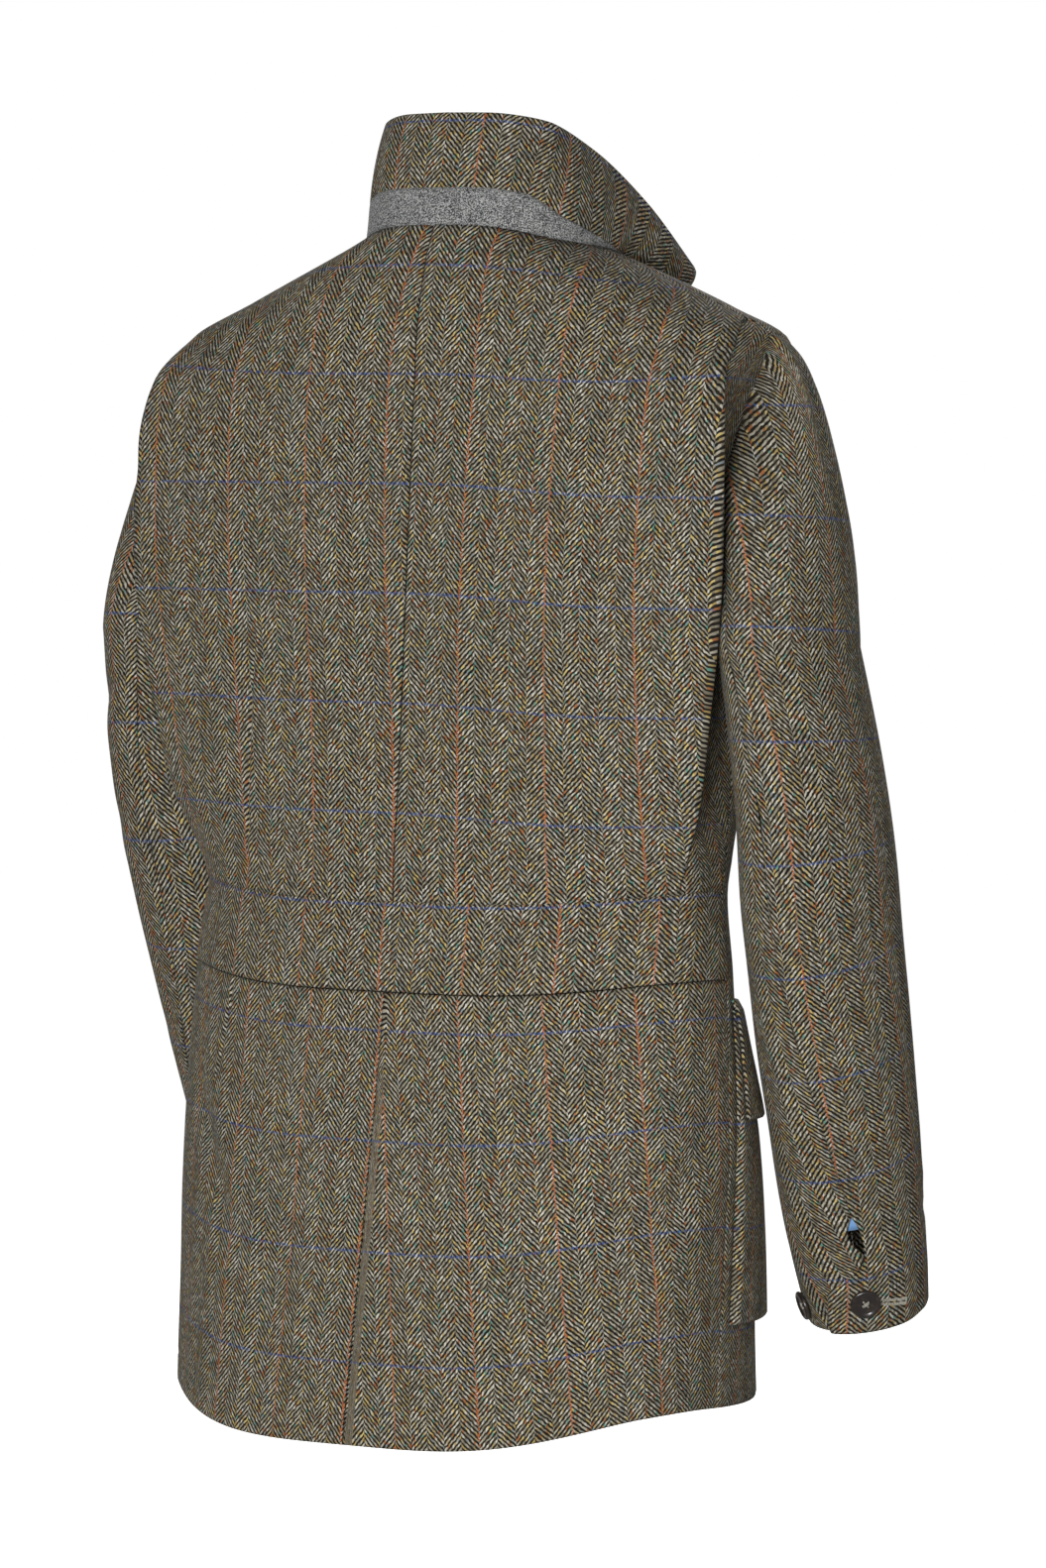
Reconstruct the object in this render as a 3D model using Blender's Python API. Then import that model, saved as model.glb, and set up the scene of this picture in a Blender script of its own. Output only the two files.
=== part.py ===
"""Belted-back tweed jacket, worn shape with no wearer, every cut piece a closed solid.

Metres, +Z up, +X the wearer's left, -Y the front.  The origin is the middle of the
neck opening at the height of the centre-back neck seam.
"""
import math
from functools import lru_cache
from typing import Callable, List, NamedTuple, Sequence

import bmesh
import bpy
import numpy as np

# Cloth and seams
WALL = 0.0020            # tweed with its interlining
MELTON_WALL = 0.0026     # felted collar stand
LINING_WALL = 0.0010
SEAM_GAP = 0.0004        # air between two sewn edges
LAYER_GAP = 0.0004       # air between two cloths that lie on each other
NEXT_TO_NOTHING = 1e-6
LEAST_LENGTH = 1e-15

# Lengths down the centre back, from the neck seam
NECK_DROP = 0.0
FOLD_TOP_DROP = 0.056    # where the action pleat reaches the shoulder seam
SHOULDER_DROP = 0.075    # level of the shoulder end, top of the armhole
UNDERARM_DROP = 0.247    # bottom of the armhole
BAND_TOP_DROP = 0.444    # waistband
BAND_LOW_DROP = 0.503
HEM_DROP = 0.798

# Rows of points between those levels
YOKE_ROWS = 4
ARMHOLE_ROWS = 9
RIB_ROWS = 6
BAND_ROWS = 2
FLAP_ROWS = 3
POCKET_ROWS = 5
HEM_ROWS = 3

# Columns of points across the pieces
BACK_COLUMNS = 5
FOLD_COLUMNS = 2
UNDERLAY_COLUMNS = 4
BAND_COLUMNS = 18
VENT_COLUMNS = 2
SKIRT_COLUMNS = 7
POCKET_COLUMNS = 7
CHEST_COLUMNS = 3
EDGE_COLUMNS = 2

# How finely the skins are measured
QUARTER_STEPS = 90       # points used to measure a quarter of the girth
TURN_STEP = 1e-3         # steps for surface directions, each in its own coordinate
DROP_STEP = 2e-4
KNOT_STEP = 0.02
KNOT_REACH = 0.05
HEIGHT_STEP = 0.01
LEVEL_POWER = 4.0        # how late a level leaves the centre-back height

# Girth positions: 0 centre back, 1 widest side, 2 centre front
SIDE_SEAM = 1.035
CENTRE_FRONT = 2.0
FOLD_GIRTH = 0.8
STRETCHES = ((0.0, FOLD_GIRTH), (FOLD_GIRTH, 1.0), (1.0, CENTRE_FRONT))
CURL_WAY = (-0.70, -0.71)    # where the skin goes behind an open fold
COLLAR_END = 1.47

# Armhole
ARMHOLE_AXIS_TOP = 1.0
ARMHOLE_BACK_REACH = 0.046
ARMHOLE_FRONT_REACH = 0.066
ARMHOLE_BACK_SKEW = 2.2    # above 0 the back of the armhole is widest low down
ARMHOLE_SCALE_GIRTH = 0.988
ARMHOLE_SCALE_DROP = 0.995

# Action pleat
PLEAT_COVER = 0.024      # cloth under the fold
PLEAT_LIFT = 0.0030      # how far the fold stands off at its ends
PLEAT_OPEN = 0.0020      # how much more it stands off halfway
PLEAT_RAMP = 0.045
FOLD_LEAST = 0.0016       # least cloth between the fold and the armhole

# Waistband, vent and front edge
BAND_PROUD = 0.0012
VENT_COVER = 0.036
VENT_LIFT = 0.0026
VENT_FLARE = 0.0020
FRONT_OVERLAP = 0.020
FRONT_LIFT = 0.0036
BREAK_DROP = 0.300       # where the lapels start to roll
LAPEL_TOP_DROP = 0.030
LAPEL_LOW_DROP = 0.215
LAPEL_TAPER = 0.75
LAPEL_LIFT = 0.0029

# Bellows pocket and flap, as shares of the front panel's width and drops
POCKET_REAR = 0.030
POCKET_FORE = 0.760
POCKET_TOP_DROP = 0.524
POCKET_LOW_DROP = 0.741
POCKET_MOUTH = 0.0030
POCKET_DEPTH = 0.0082
POCKET_LEAN = 0.0012     # side walls lean in by this much
FLAP_TOP_DROP = 0.517
FLAP_LOW_DROP = 0.599
FLAP_SEAM = 0.0027       # at its sewn edge, over the front
FLAP_ROOT = 0.0057       # over the pocket's mouth
FLAP_KICK = 0.0112
FLAP_WALL = 0.0022
FLAP_CURVE = 0.8         # below 1 the flap leaves its seam quickly, then hangs straighter

# Sleeve
HEAD_ROWS = 6
ARM_ROWS = 6
SLIT_ROWS = 4
TAB_ROWS = 3
CUFF_ROWS = 2
HIND_KNOT = 3            # armhole points where the sleeve seams end
FORE_KNOT = 16
LINING_TOP = 1.70        # places down the sleeve, 1 biceps, 2 cuff edge
LINING_LOW = 1.837
SLIT_TOP = 1.818
SLIT_LOW = 1.872
SLIT_HALF = 0.0044
TAB_FULL = 1.955
TAB_REACH = 0.0235
TAB_LIFT = 0.0032
TAB_RAMP = 0.010
TAB_RISE = 0.020          # places over which the tab comes up
TAB_FLAT_KNOT = 4.3      # the tab stands off as far as here, then comes down
TAB_END_KNOT = 7.0
TAB_LEAST = 0.10         # share of the tab's reach kept before its middle column
RAMP_MOST = 0.45         # knots that the ramp takes at most
RAMP_AT_TOP = 0.30       # share of it at the armhole
HEAD_OUT = 0.47          # how the sleeve leaves the armhole
HEAD_CROWN = 0.17        # further out over the shoulder end
HEAD_AWAY = 0.30
HEAD_BACK = 0.24
HEAD_DOWN = 0.45
HEAD_LAND = 0.85
SLOPE_REACH = 0.05       # places used to measure the arm's slope
SLOPE_SETTLE = 0.40      # places over which the rings tilt to that slope

# Collar
STAND_SHARE = 0.33       # stand height as a share of the collar at the centre back
STAND_TAPER_START = 0.36
STAND_TAPER_END = 0.82
STAND_LEAST = 0.022
HANG_START = 0.86         # past here the collar's end hangs free over the front
HANG_DROP = 0.020
HANG_RISE = 0.0045
HANG_QUICK = 8.0          # it clears the neck seam this much sooner than it reaches out
COLLAR_BOW = 0.004
COLLAR_TRIM = 0.004      # seam gaps, as shares of a piece's height
STAND_TRIM = 0.008
STAND_FOOT_TRIM = 0.036
COLLAR_ROWS = 5
COLLAR_COLUMNS = 30
STAND_ROWS = 2
STAND_COLUMNS = 24

# Horn buttons
BUTTON_RADIUS = 0.010
FRONT_BUTTON_RADIUS = 0.0115
BUTTON_THICK = 0.0036
BUTTON_DISH = 0.0010
BUTTON_SIDES = 20
CUFF_SEAT = TAB_LIFT - 0.0001    # heights of button feet over the skin
SPARE_SEAT = -0.0003


class ButtonRing(NamedTuple):
    """One ring of the turned button, as shares of its radius and thickness."""

    share: float
    height: float


BUTTON_RINGS = (
    ButtonRing(0.70, 0.00),
    ButtonRing(1.00, 0.35),
    ButtonRing(1.00, 0.70),
    ButtonRing(0.92, 1.00),
    ButtonRing(0.74, 1.0 - BUTTON_DISH / BUTTON_THICK),
)


class CuffButton(NamedTuple):
    """Button on the sleeve: its place and the height of its foot over the skin."""

    name: str
    knot: float
    place: float
    seat: float


CUFF_BUTTONS = (
    CuffButton("cuff_button", 2.75, 1.944, CUFF_SEAT),
    CuffButton("spare_button", 0.75, 1.964, SPARE_SEAT),
)


class FrontButton(NamedTuple):
    """Button on the centre front: its level and the height of its foot over the skin."""

    drop: float
    seat: float


FRONT_BUTTONS = (
    FrontButton(0.325, FRONT_LIFT + 0.0004),
    FrontButton(0.415, FRONT_LIFT + 0.0005),
    FrontButton(0.505, FRONT_LIFT + 0.0008),
)


class Section(NamedTuple):
    """One level of the body, half of it: heights, side, pleat fold, back and front."""

    drop: float
    z_side: float
    z_front: float
    side_x: float
    fold_x: float
    fold_y: float
    back_depth: float
    back_power: float
    curl: float          # 0 the skin runs on smoothly past the fold, 1 it turns back inward
    front_depth: float
    front_power: float


SECTIONS = (
    Section(0.000, -0.009, -0.040, 0.084, 0.0735, 0.0400, 0.0710, 3.0, 0.0, 0.112, 2.4),
    Section(0.022, -0.027, -0.062, 0.131, 0.1150, 0.0410, 0.0785, 3.0, 0.0, 0.114, 2.2),
    Section(0.045, -0.047, -0.085, 0.178, 0.158, 0.0420, 0.0835, 3.0, 0.0, 0.118, 2.2),
    Section(0.075, -0.070, -0.108, 0.219, 0.204, 0.0460, 0.0870, 3.0, 0.1, 0.122, 2.2),
    Section(0.110, -0.102, -0.133, 0.212, 0.222, 0.0660, 0.0880, 3.0, 0.6, 0.126, 2.2),
    Section(0.150, -0.148, -0.168, 0.206, 0.228, 0.0725, 0.0885, 3.0, 0.9, 0.128, 2.2),
    Section(0.220, -0.219, -0.228, 0.200, 0.228, 0.0715, 0.0890, 3.0, 1.0, 0.128, 2.2),
    Section(0.330, -0.325, -0.325, 0.196, 0.215, 0.0580, 0.0900, 3.0, 1.0, 0.116, 2.1),
    Section(0.380, -0.374, -0.374, 0.195, 0.206, 0.0490, 0.0905, 3.0, 0.9, 0.108, 2.1),
    Section(0.418, -0.407, -0.407, 0.194, 0.193, 0.0390, 0.0925, 3.0, 0.4, 0.101, 2.0),
    Section(0.444, -0.430, -0.430, 0.192, 0.186, 0.0350, 0.0915, 3.2, 0.0, 0.097, 2.0),
    Section(0.503, -0.487, -0.487, 0.198, 0.186, 0.0440, 0.0950, 3.3, 0.0, 0.101, 2.0),
    Section(0.620, -0.598, -0.594, 0.203, 0.186, 0.0530, 0.1055, 3.3, 0.0, 0.143, 2.2),
    Section(0.798, -0.766, -0.752, 0.200, 0.182, 0.0580, 0.1230, 3.3, 0.0, 0.181, 2.3),
)


class FoldKey(NamedTuple):
    """Place of the action pleat's fold at one drop."""

    drop: float
    girth: float


FOLD = (
    FoldKey(0.000, 1.000),
    FoldKey(0.056, 1.000),
    FoldKey(0.064, 0.905),
    FoldKey(0.077, 0.835),
    FoldKey(0.100, 0.800),
    FoldKey(0.444, 0.800),
)


class ArmKey(NamedTuple):
    """One ring of the sleeve: centre, half sizes and its two seam angles."""

    place: float
    x: float
    y: float
    z: float
    half_x: float
    half_y: float
    hind_deg: float
    fore_deg: float


ARM = (
    ArmKey(1.00, 0.2440, 0.0050, -0.268, 0.0385, 0.0640, 108.0, -146.0),
    ArmKey(1.20, 0.2480, -0.0225, -0.365, 0.0445, 0.0620, 95.0, -140.0),
    ArmKey(1.40, 0.2435, -0.0490, -0.445, 0.0480, 0.0600, 91.0, -136.0),
    ArmKey(1.72, 0.2360, -0.0990, -0.578, 0.0470, 0.0550, 67.0, -132.0),
    ArmKey(1.92, 0.2320, -0.1350, -0.673, 0.0430, 0.0470, 49.0, -130.0),
    ArmKey(2.00, 0.2320, -0.1460, -0.704, 0.0400, 0.0425, 47.0, -130.0),
)


class CollarKey(NamedTuple):
    """Top edge of the turned-up collar, 0 centre back, 1 collar point."""

    share: float
    x: float
    y: float
    z: float


COLLAR_TOP = (
    CollarKey(0.00, 0.0000, 0.0620, 0.0750),
    CollarKey(0.20, 0.0320, 0.0570, 0.0748),
    CollarKey(0.45, 0.0665, 0.0300, 0.0690),
    CollarKey(0.68, 0.0700, -0.0180, 0.0545),
    CollarKey(0.86, 0.0790, -0.0680, 0.0250),
    CollarKey(1.00, 0.0905, -0.1135, -0.0160),
)


class Cloth(NamedTuple):
    """Plain colour and roughness of one cloth or horn."""

    red: float
    green: float
    blue: float
    rough: float


TWEED = Cloth(0.150, 0.125, 0.092, 0.95)
MELTON = Cloth(0.190, 0.195, 0.190, 0.95)
SATIN = Cloth(0.300, 0.520, 0.860, 0.40)
HORN = Cloth(0.035, 0.026, 0.022, 0.25)


class Track:
    """Smooth curve through a few keys that never overshoots them."""

    def __init__(self, keys: Sequence[float], values: Sequence[float]) -> None:
        self.keys = np.asarray(keys, float)
        self.values = np.asarray(values, float)
        spans = np.diff(self.keys)
        rises = np.diff(self.values) / spans
        slopes = np.zeros(len(self.keys))
        slopes[0], slopes[-1] = rises[0], rises[-1]
        for i in range(1, len(self.keys) - 1):
            before, after = rises[i - 1], rises[i]
            if before * after > 0.0:
                first = 2.0 * spans[i] + spans[i - 1]
                second = spans[i] + 2.0 * spans[i - 1]
                slopes[i] = (first + second) / (first / before + second / after)
        self.slopes = slopes

    def __call__(self, place: float) -> float:
        place = min(max(place, self.keys[0]), self.keys[-1])
        i = min(max(int(np.searchsorted(self.keys, place)) - 1, 0), len(self.keys) - 2)
        span = self.keys[i + 1] - self.keys[i]
        t = (place - self.keys[i]) / span
        rest = 1.0 - t
        return float(
            self.values[i] * (1.0 + 2.0 * t) * rest * rest
            + self.slopes[i] * span * t * rest * rest
            + self.values[i + 1] * t * t * (3.0 - 2.0 * t)
            - self.slopes[i + 1] * span * t * t * rest
        )


def tracks(table: Sequence[NamedTuple]) -> dict:
    """One track for each column of a table, keyed by the table's first column."""
    keys = [row[0] for row in table]
    return {name: Track(keys, [getattr(row, name) for row in table]) for name in table[0]._fields[1:]}


def ease(value: float) -> float:
    """0 to 1 with no corners, held outside that range."""
    value = min(max(value, 0.0), 1.0)
    return value * value * (3.0 - 2.0 * value)


def unit(vector: np.ndarray) -> np.ndarray:
    return vector / max(float(np.linalg.norm(vector)), LEAST_LENGTH)


class Torso:
    """Body of the jacket as one smooth skin; girth runs round it and drop runs down it."""

    def __init__(self) -> None:
        self.columns = tracks(SECTIONS)

    @lru_cache(maxsize=None)
    def ring(self, drop: float) -> tuple:
        """Measured stretches of one level: back, side behind the fold, front."""
        size = {name: track(drop) for name, track in self.columns.items()}
        share = np.linspace(0.0, 1.0, QUARTER_STEPS + 1)
        fall = size["back_depth"] - size["fold_y"]
        back = (size["fold_x"] * share, size["back_depth"] - fall * share ** size["back_power"])
        start = np.array((size["fold_x"], size["fold_y"]))
        end = np.array((size["side_x"], 0.0))
        reach = float(np.linalg.norm(end - start))
        smooth = unit(np.array((1.0, -size["back_power"] * fall / size["fold_x"])))
        leave = unit(smooth * (1.0 - size["curl"]) + unit(np.array(CURL_WAY)) * size["curl"]) * reach
        land = np.array((0.0, -1.0)) * reach
        rest = 1.0 - share
        side = [
            start[i] * (1.0 + 2.0 * share) * rest ** 2 + leave[i] * share * rest ** 2
            + end[i] * share ** 2 * (3.0 - 2.0 * share) - land[i] * share ** 2 * rest
            for i in (0, 1)
        ]
        turn = share * math.pi / 2.0
        power = 2.0 / size["front_power"]
        front = (size["side_x"] * np.clip(np.cos(turn), 0.0, 1.0) ** power,
                 -size["front_depth"] * np.sin(turn) ** power)
        made = []
        for x, y in (back, side, front):
            length = np.concatenate(([0.0], np.cumsum(np.hypot(np.diff(x), np.diff(y)))))
            made.append((length, x, y))
        return size["z_side"], size["z_front"], made

    def run(self, girth: float, drop: float) -> float:
        """Length of cloth from the centre back to a girth position."""
        made = self.ring(round(drop, 7))[2]
        place = abs(girth)
        total = sum(part[0][-1] for part in made)
        if place > CENTRE_FRONT:
            return math.copysign(2.0 * total - self.run(2.0 * CENTRE_FRONT - place, drop), girth)
        length = 0.0
        for (low, high), part in zip(STRETCHES, made):
            length += part[0][-1] * min(max((place - low) / (high - low), 0.0), 1.0)
        return math.copysign(length, girth)

    def girth_at(self, length: float, drop: float) -> float:
        """Girth position at a length of cloth from the centre back."""
        made = self.ring(round(drop, 7))[2]
        total = sum(part[0][-1] for part in made)
        place, left = 0.0, abs(length)
        if left > total:
            return math.copysign(2.0 * CENTRE_FRONT - self.girth_at(2.0 * total - left, drop), length)
        for (low, high), part in zip(STRETCHES, made):
            step = min(left, part[0][-1])
            place = low + (high - low) * step / part[0][-1]
            left -= step
            if left <= 0.0:
                break
        return math.copysign(place, length)

    def shift(self, girth: float, metres: float, drop: float) -> float:
        """Girth position moved along the cloth by a length."""
        return self.girth_at(self.run(girth, drop) + metres, drop)

    def point(self, girth: float, drop: float) -> np.ndarray:
        z_side, z_front, made = self.ring(round(drop, 7))
        side = 1.0 if girth >= 0.0 else -1.0
        place = abs(girth)
        if place > CENTRE_FRONT:
            place, side = 2.0 * CENTRE_FRONT - place, -side
        for (low, high), (length, x, y) in zip(STRETCHES, made):
            if place <= high:
                along = (place - low) / (high - low) * length[-1]
                break
        if place <= 1.0:
            z = -drop + (z_side + drop) * math.sin(place * math.pi / 2.0) ** LEVEL_POWER
        else:
            z = z_side + (z_front - z_side) * math.sin((place - 1.0) * math.pi / 2.0) ** 2
        return np.array((side * np.interp(along, length, x), np.interp(along, length, y), z))

    def normal(self, girth: float, drop: float) -> np.ndarray:
        high = max(drop - DROP_STEP, NECK_DROP)
        low = min(drop + DROP_STEP, HEM_DROP)
        along = self.point(girth + TURN_STEP, drop) - self.point(girth - TURN_STEP, drop)
        down = self.point(girth, low) - self.point(girth, high)
        return unit(np.cross(along, down))


TORSO = Torso()
FOLD_LINE = tracks(FOLD)["girth"]


def levels(start: float, end: float, count: int) -> List[float]:
    return [start + (end - start) * i / count for i in range(count + 1)]


def armhole_level(knot: float) -> float:
    """Drop of an armhole point, knot 0 at the bottom, ARMHOLE_ROWS at the top."""
    middle = 0.5 * (SHOULDER_DROP + UNDERARM_DROP)
    half = 0.5 * (UNDERARM_DROP - SHOULDER_DROP)
    return middle + half * math.cos(math.pi * knot / ARMHOLE_ROWS)


def armhole_axis(drop: float) -> float:
    share = (drop - SHOULDER_DROP) / (UNDERARM_DROP - SHOULDER_DROP)
    return ARMHOLE_AXIS_TOP + (SIDE_SEAM - ARMHOLE_AXIS_TOP) * share


def armhole_edge(drop: float, reach: float) -> float:
    """Girth of the armhole's edge; a negative reach is the back branch."""
    share = min(max((drop - SHOULDER_DROP) / (UNDERARM_DROP - SHOULDER_DROP), 0.0), 1.0)
    shifted = share ** (1.0 + ARMHOLE_BACK_SKEW * (1.0 - share)) if reach < 0.0 else share
    width = 2.0 * math.sqrt(shifted * (1.0 - shifted))
    axis = armhole_axis(min(max(drop, SHOULDER_DROP), UNDERARM_DROP))
    return TORSO.shift(axis, reach * width, drop)


UPPER_LEVELS = (
    levels(NECK_DROP, FOLD_TOP_DROP, YOKE_ROWS - 1)
    + [0.5 * (FOLD_TOP_DROP + SHOULDER_DROP)]
    + [armhole_level(ARMHOLE_ROWS - i) for i in range(ARMHOLE_ROWS + 1)]
    + levels(UNDERARM_DROP, BAND_TOP_DROP, RIB_ROWS)[1:]
)
BAND_LEVELS = levels(BAND_TOP_DROP, BAND_LOW_DROP, BAND_ROWS)
SKIRT_LEVELS = (
    [BAND_LOW_DROP, FLAP_TOP_DROP, POCKET_TOP_DROP]
    + levels(POCKET_TOP_DROP, FLAP_LOW_DROP, FLAP_ROWS)[1:]
    + levels(FLAP_LOW_DROP, POCKET_LOW_DROP, POCKET_ROWS)[1:]
    + levels(POCKET_LOW_DROP, HEM_DROP, HEM_ROWS)[1:]
)


def trimmed(rows: Sequence[float]) -> List[float]:
    """Rows with the two sewn ends drawn back by half a seam gap."""
    half = 0.5 * SEAM_GAP
    return [rows[0] + half] + list(rows[1:-1]) + [rows[-1] - half]


def side_seam(drop: float) -> float:
    """Where the back pieces end: shoulder seam, armhole, then side seam."""
    if drop <= SHOULDER_DROP:
        return ARMHOLE_AXIS_TOP
    if drop < UNDERARM_DROP:
        return armhole_edge(drop, -ARMHOLE_BACK_REACH)
    return SIDE_SEAM


def front_seam(drop: float) -> float:
    """Where the front starts: shoulder seam, armhole, then side seam."""
    if drop <= SHOULDER_DROP:
        return ARMHOLE_AXIS_TOP
    if drop < UNDERARM_DROP:
        return armhole_edge(drop, ARMHOLE_FRONT_REACH)
    return SIDE_SEAM


def roll_line(drop: float) -> float:
    """Front edge: the lapel's roll line, then the straight edge past the centre."""
    straight = TORSO.shift(CENTRE_FRONT, FRONT_OVERLAP, drop)
    share = min(drop / BREAK_DROP, 1.0)
    return COLLAR_END + (straight - COLLAR_END) * share


def spread(start: float, end: float, count: int) -> List[float]:
    return [start + (end - start) * i / count for i in range(count + 1)]


def material(name: str, cloth: Cloth) -> bpy.types.Material:
    made = bpy.data.materials.new(name)
    made.use_nodes = True
    shader = made.node_tree.nodes["Principled BSDF"]
    shader.inputs["Base Color"].default_value = (cloth.red, cloth.green, cloth.blue, 1.0)
    shader.inputs["Roughness"].default_value = cloth.rough
    return made


def solid(name: str, points: Sequence, faces: Sequence, cloth: Cloth, mirror: bool = False) -> None:
    """Closed object from points and faces; a mirrored one goes to the wearer's right."""
    side = -1.0 if mirror else 1.0
    mesh = bpy.data.meshes.new(name)
    mesh.from_pydata([(side * p[0], p[1], p[2]) for p in points], [], faces)
    work = bmesh.new()
    work.from_mesh(mesh)
    bmesh.ops.recalc_face_normals(work, faces=work.faces)
    work.to_mesh(mesh)
    work.free()
    mesh.materials.append(material(name, cloth))
    bpy.context.scene.collection.objects.link(bpy.data.objects.new(name, mesh))


def shell(name: str, outer: np.ndarray, inner: np.ndarray, cloth: Cloth,
          mirror: bool = False, tube: bool = False) -> None:
    """Thin solid between two grids of points; a tube joins its last column to its first."""
    rows, cols = outer.shape[:2]
    points = np.concatenate((outer.reshape(-1, 3), inner.reshape(-1, 3)))
    back = rows * cols
    faces = []

    def at(r: int, c: int, layer: int = 0) -> int:
        return layer * back + r * cols + c % cols

    for r in range(rows - 1):
        for c in range(cols if tube else cols - 1):
            for layer in (0, 1):
                a, b = at(r, c, layer), at(r, c + 1, layer)
                d, e = at(r + 1, c, layer), at(r + 1, c + 1, layer)
                faces += [(a, b, e), (a, e, d)] if layer == 0 else [(a, e, b), (a, d, e)]
    rim = [[(0, c) for c in range(cols + tube)], [(rows - 1, c) for c in range(cols + tube)]]
    if not tube:
        rim += [[(r, 0) for r in range(rows)], [(r, cols - 1) for r in range(rows)]]
    for line in rim:
        for (r0, c0), (r1, c1) in zip(line, line[1:]):
            a, b, d, e = at(r0, c0), at(r1, c1), at(r0, c0, 1), at(r1, c1, 1)
            faces += [(a, b, e), (a, e, d)]
    solid(name, points, faces, cloth, mirror)


def panel(name: str, skin, rows: Sequence[float], columns: Callable[[float], List[float]],
          lift: Callable[[float, float], float], cloth: Cloth = TWEED, wall: float = WALL,
          mirror: bool = False, tube: bool = False) -> None:
    """Cloth piece on a skin: its outer face is lifted off the skin, its wall goes inward."""
    outer, inner = [], []
    for row in rows:
        for column in columns(row):
            base, out = skin.point(column, row), skin.normal(column, row)
            height = lift(column, row)
            outer.append(base + out * height)
            inner.append(base + out * (height - wall))
    shape = (len(rows), -1, 3)
    shell(name, np.reshape(outer, shape), np.reshape(inner, shape), cloth, mirror, tube)


def flat(column: float, row: float) -> float:
    return 0.0


# Back pieces

def back_columns(drop: float) -> List[float]:
    fold = FOLD_LINE(drop)
    fold = min(fold, TORSO.shift(1.0, -0.5 * SEAM_GAP, drop))
    start = TORSO.shift(0.0, 0.5 * SEAM_GAP, drop)
    cover = TORSO.shift(fold, -PLEAT_COVER, drop)
    return spread(start, cover, BACK_COLUMNS) + spread(cover, fold, FOLD_COLUMNS)[1:]


def pleat_lift(girth: float, drop: float) -> float:
    """The fold stands off the underlay, most of all halfway down."""
    if drop < FOLD_TOP_DROP - NEXT_TO_NOTHING:
        return 0.0
    inside = TORSO.run(FOLD_LINE(drop), drop) - TORSO.run(girth, drop)
    half = math.sin(math.pi * (drop - FOLD_TOP_DROP) / (BAND_TOP_DROP - FOLD_TOP_DROP))
    opening = PLEAT_OPEN * half * ease(1.0 - inside / PLEAT_COVER)
    return PLEAT_LIFT * ease(1.0 - (inside - PLEAT_COVER) / PLEAT_RAMP) + opening


def underlay_columns(drop: float) -> List[float]:
    fold = min(FOLD_LINE(drop), TORSO.shift(1.0, -0.5 * SEAM_GAP, drop))
    cover = TORSO.shift(fold, -PLEAT_COVER, drop)
    end = TORSO.shift(side_seam(drop), -0.5 * SEAM_GAP, drop)
    fold = min(fold, TORSO.shift(end, -FOLD_LEAST, drop))
    return spread(cover, fold, FOLD_COLUMNS) + spread(fold, end, UNDERLAY_COLUMNS)[1:]


def make_back() -> None:
    rows = trimmed(UPPER_LEVELS)
    low_rows = [row for row in rows if row >= FOLD_TOP_DROP - NEXT_TO_NOTHING]
    for side, mirror in (("left", False), ("right", True)):
        panel(f"back_{side}", TORSO, rows, back_columns, pleat_lift, mirror=mirror)
        panel(f"pleat_underlay_{side}", TORSO, low_rows, underlay_columns, flat, mirror=mirror)


def make_waistband() -> None:
    def columns(drop: float) -> List[float]:
        end = TORSO.shift(SIDE_SEAM, -0.5 * SEAM_GAP, drop)
        return spread(-end, end, BAND_COLUMNS)

    panel("back_waistband", TORSO, trimmed(BAND_LEVELS), columns, lambda girth, drop: BAND_PROUD)


def skirt_columns(under: float) -> Callable[[float], List[float]]:
    """Columns of half the skirt, with an underlap past the centre back."""
    def columns(drop: float) -> List[float]:
        cover = TORSO.shift(0.0, VENT_COVER, drop)
        end = TORSO.shift(SIDE_SEAM, -0.5 * SEAM_GAP, drop)
        past = spread(-cover, 0.0, VENT_COLUMNS)[:-1] if under > 0.0 else []
        return past + spread(0.0, cover, VENT_COLUMNS) + spread(cover, end, SKIRT_COLUMNS)[1:]
    return columns


def vent_lift(girth: float, drop: float) -> float:
    inside = TORSO.run(girth, drop)
    down = (drop - BAND_LOW_DROP) / (HEM_DROP - BAND_LOW_DROP)
    edge = VENT_FLARE * down * ease(1.0 - inside / VENT_COVER)
    return VENT_LIFT * ease(1.0 - (inside - VENT_COVER) / VENT_COVER) + edge


def make_skirt() -> None:
    rows = [SKIRT_LEVELS[0] + 0.5 * SEAM_GAP] + SKIRT_LEVELS[1:]
    panel("skirt_left", TORSO, rows, skirt_columns(0.0), vent_lift)
    panel("skirt_right", TORSO, rows, skirt_columns(VENT_COVER), flat, mirror=True)


# Fronts

def front_columns(drop: float) -> List[float]:
    """Side edge, pocket edges, centre overlap and front edge, with the pocket in even steps."""
    start = TORSO.shift(front_seam(drop), 0.5 * SEAM_GAP, drop)
    end = roll_line(drop)
    inner = TORSO.shift(end, -2.0 * FRONT_OVERLAP, drop)
    rear = start + (inner - start) * POCKET_REAR
    fore = start + (inner - start) * POCKET_FORE
    return ([start] + spread(rear, fore, POCKET_COLUMNS) + spread(fore, inner, CHEST_COLUMNS)[1:]
            + spread(inner, end, EDGE_COLUMNS)[1:])


def front_lift(girth: float, drop: float) -> float:
    """The left front lies on the right one below the place where the lapels cross."""
    last, inner = front_columns(drop)[-EDGE_COLUMNS - 2:-EDGE_COLUMNS]
    share = (girth - last) / (inner - last)
    down = (drop - LAPEL_LOW_DROP) / (UNDERARM_DROP - LAPEL_LOW_DROP)
    return FRONT_LIFT * ease(share) * ease(down)


def make_fronts() -> None:
    rows = UPPER_LEVELS + BAND_LEVELS[1:] + SKIRT_LEVELS[1:]
    rows = [rows[0] + 0.5 * SEAM_GAP] + rows[1:]
    panel("front_left", TORSO, rows, front_columns, front_lift)
    panel("front_right", TORSO, rows, front_columns, flat, mirror=True)


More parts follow.
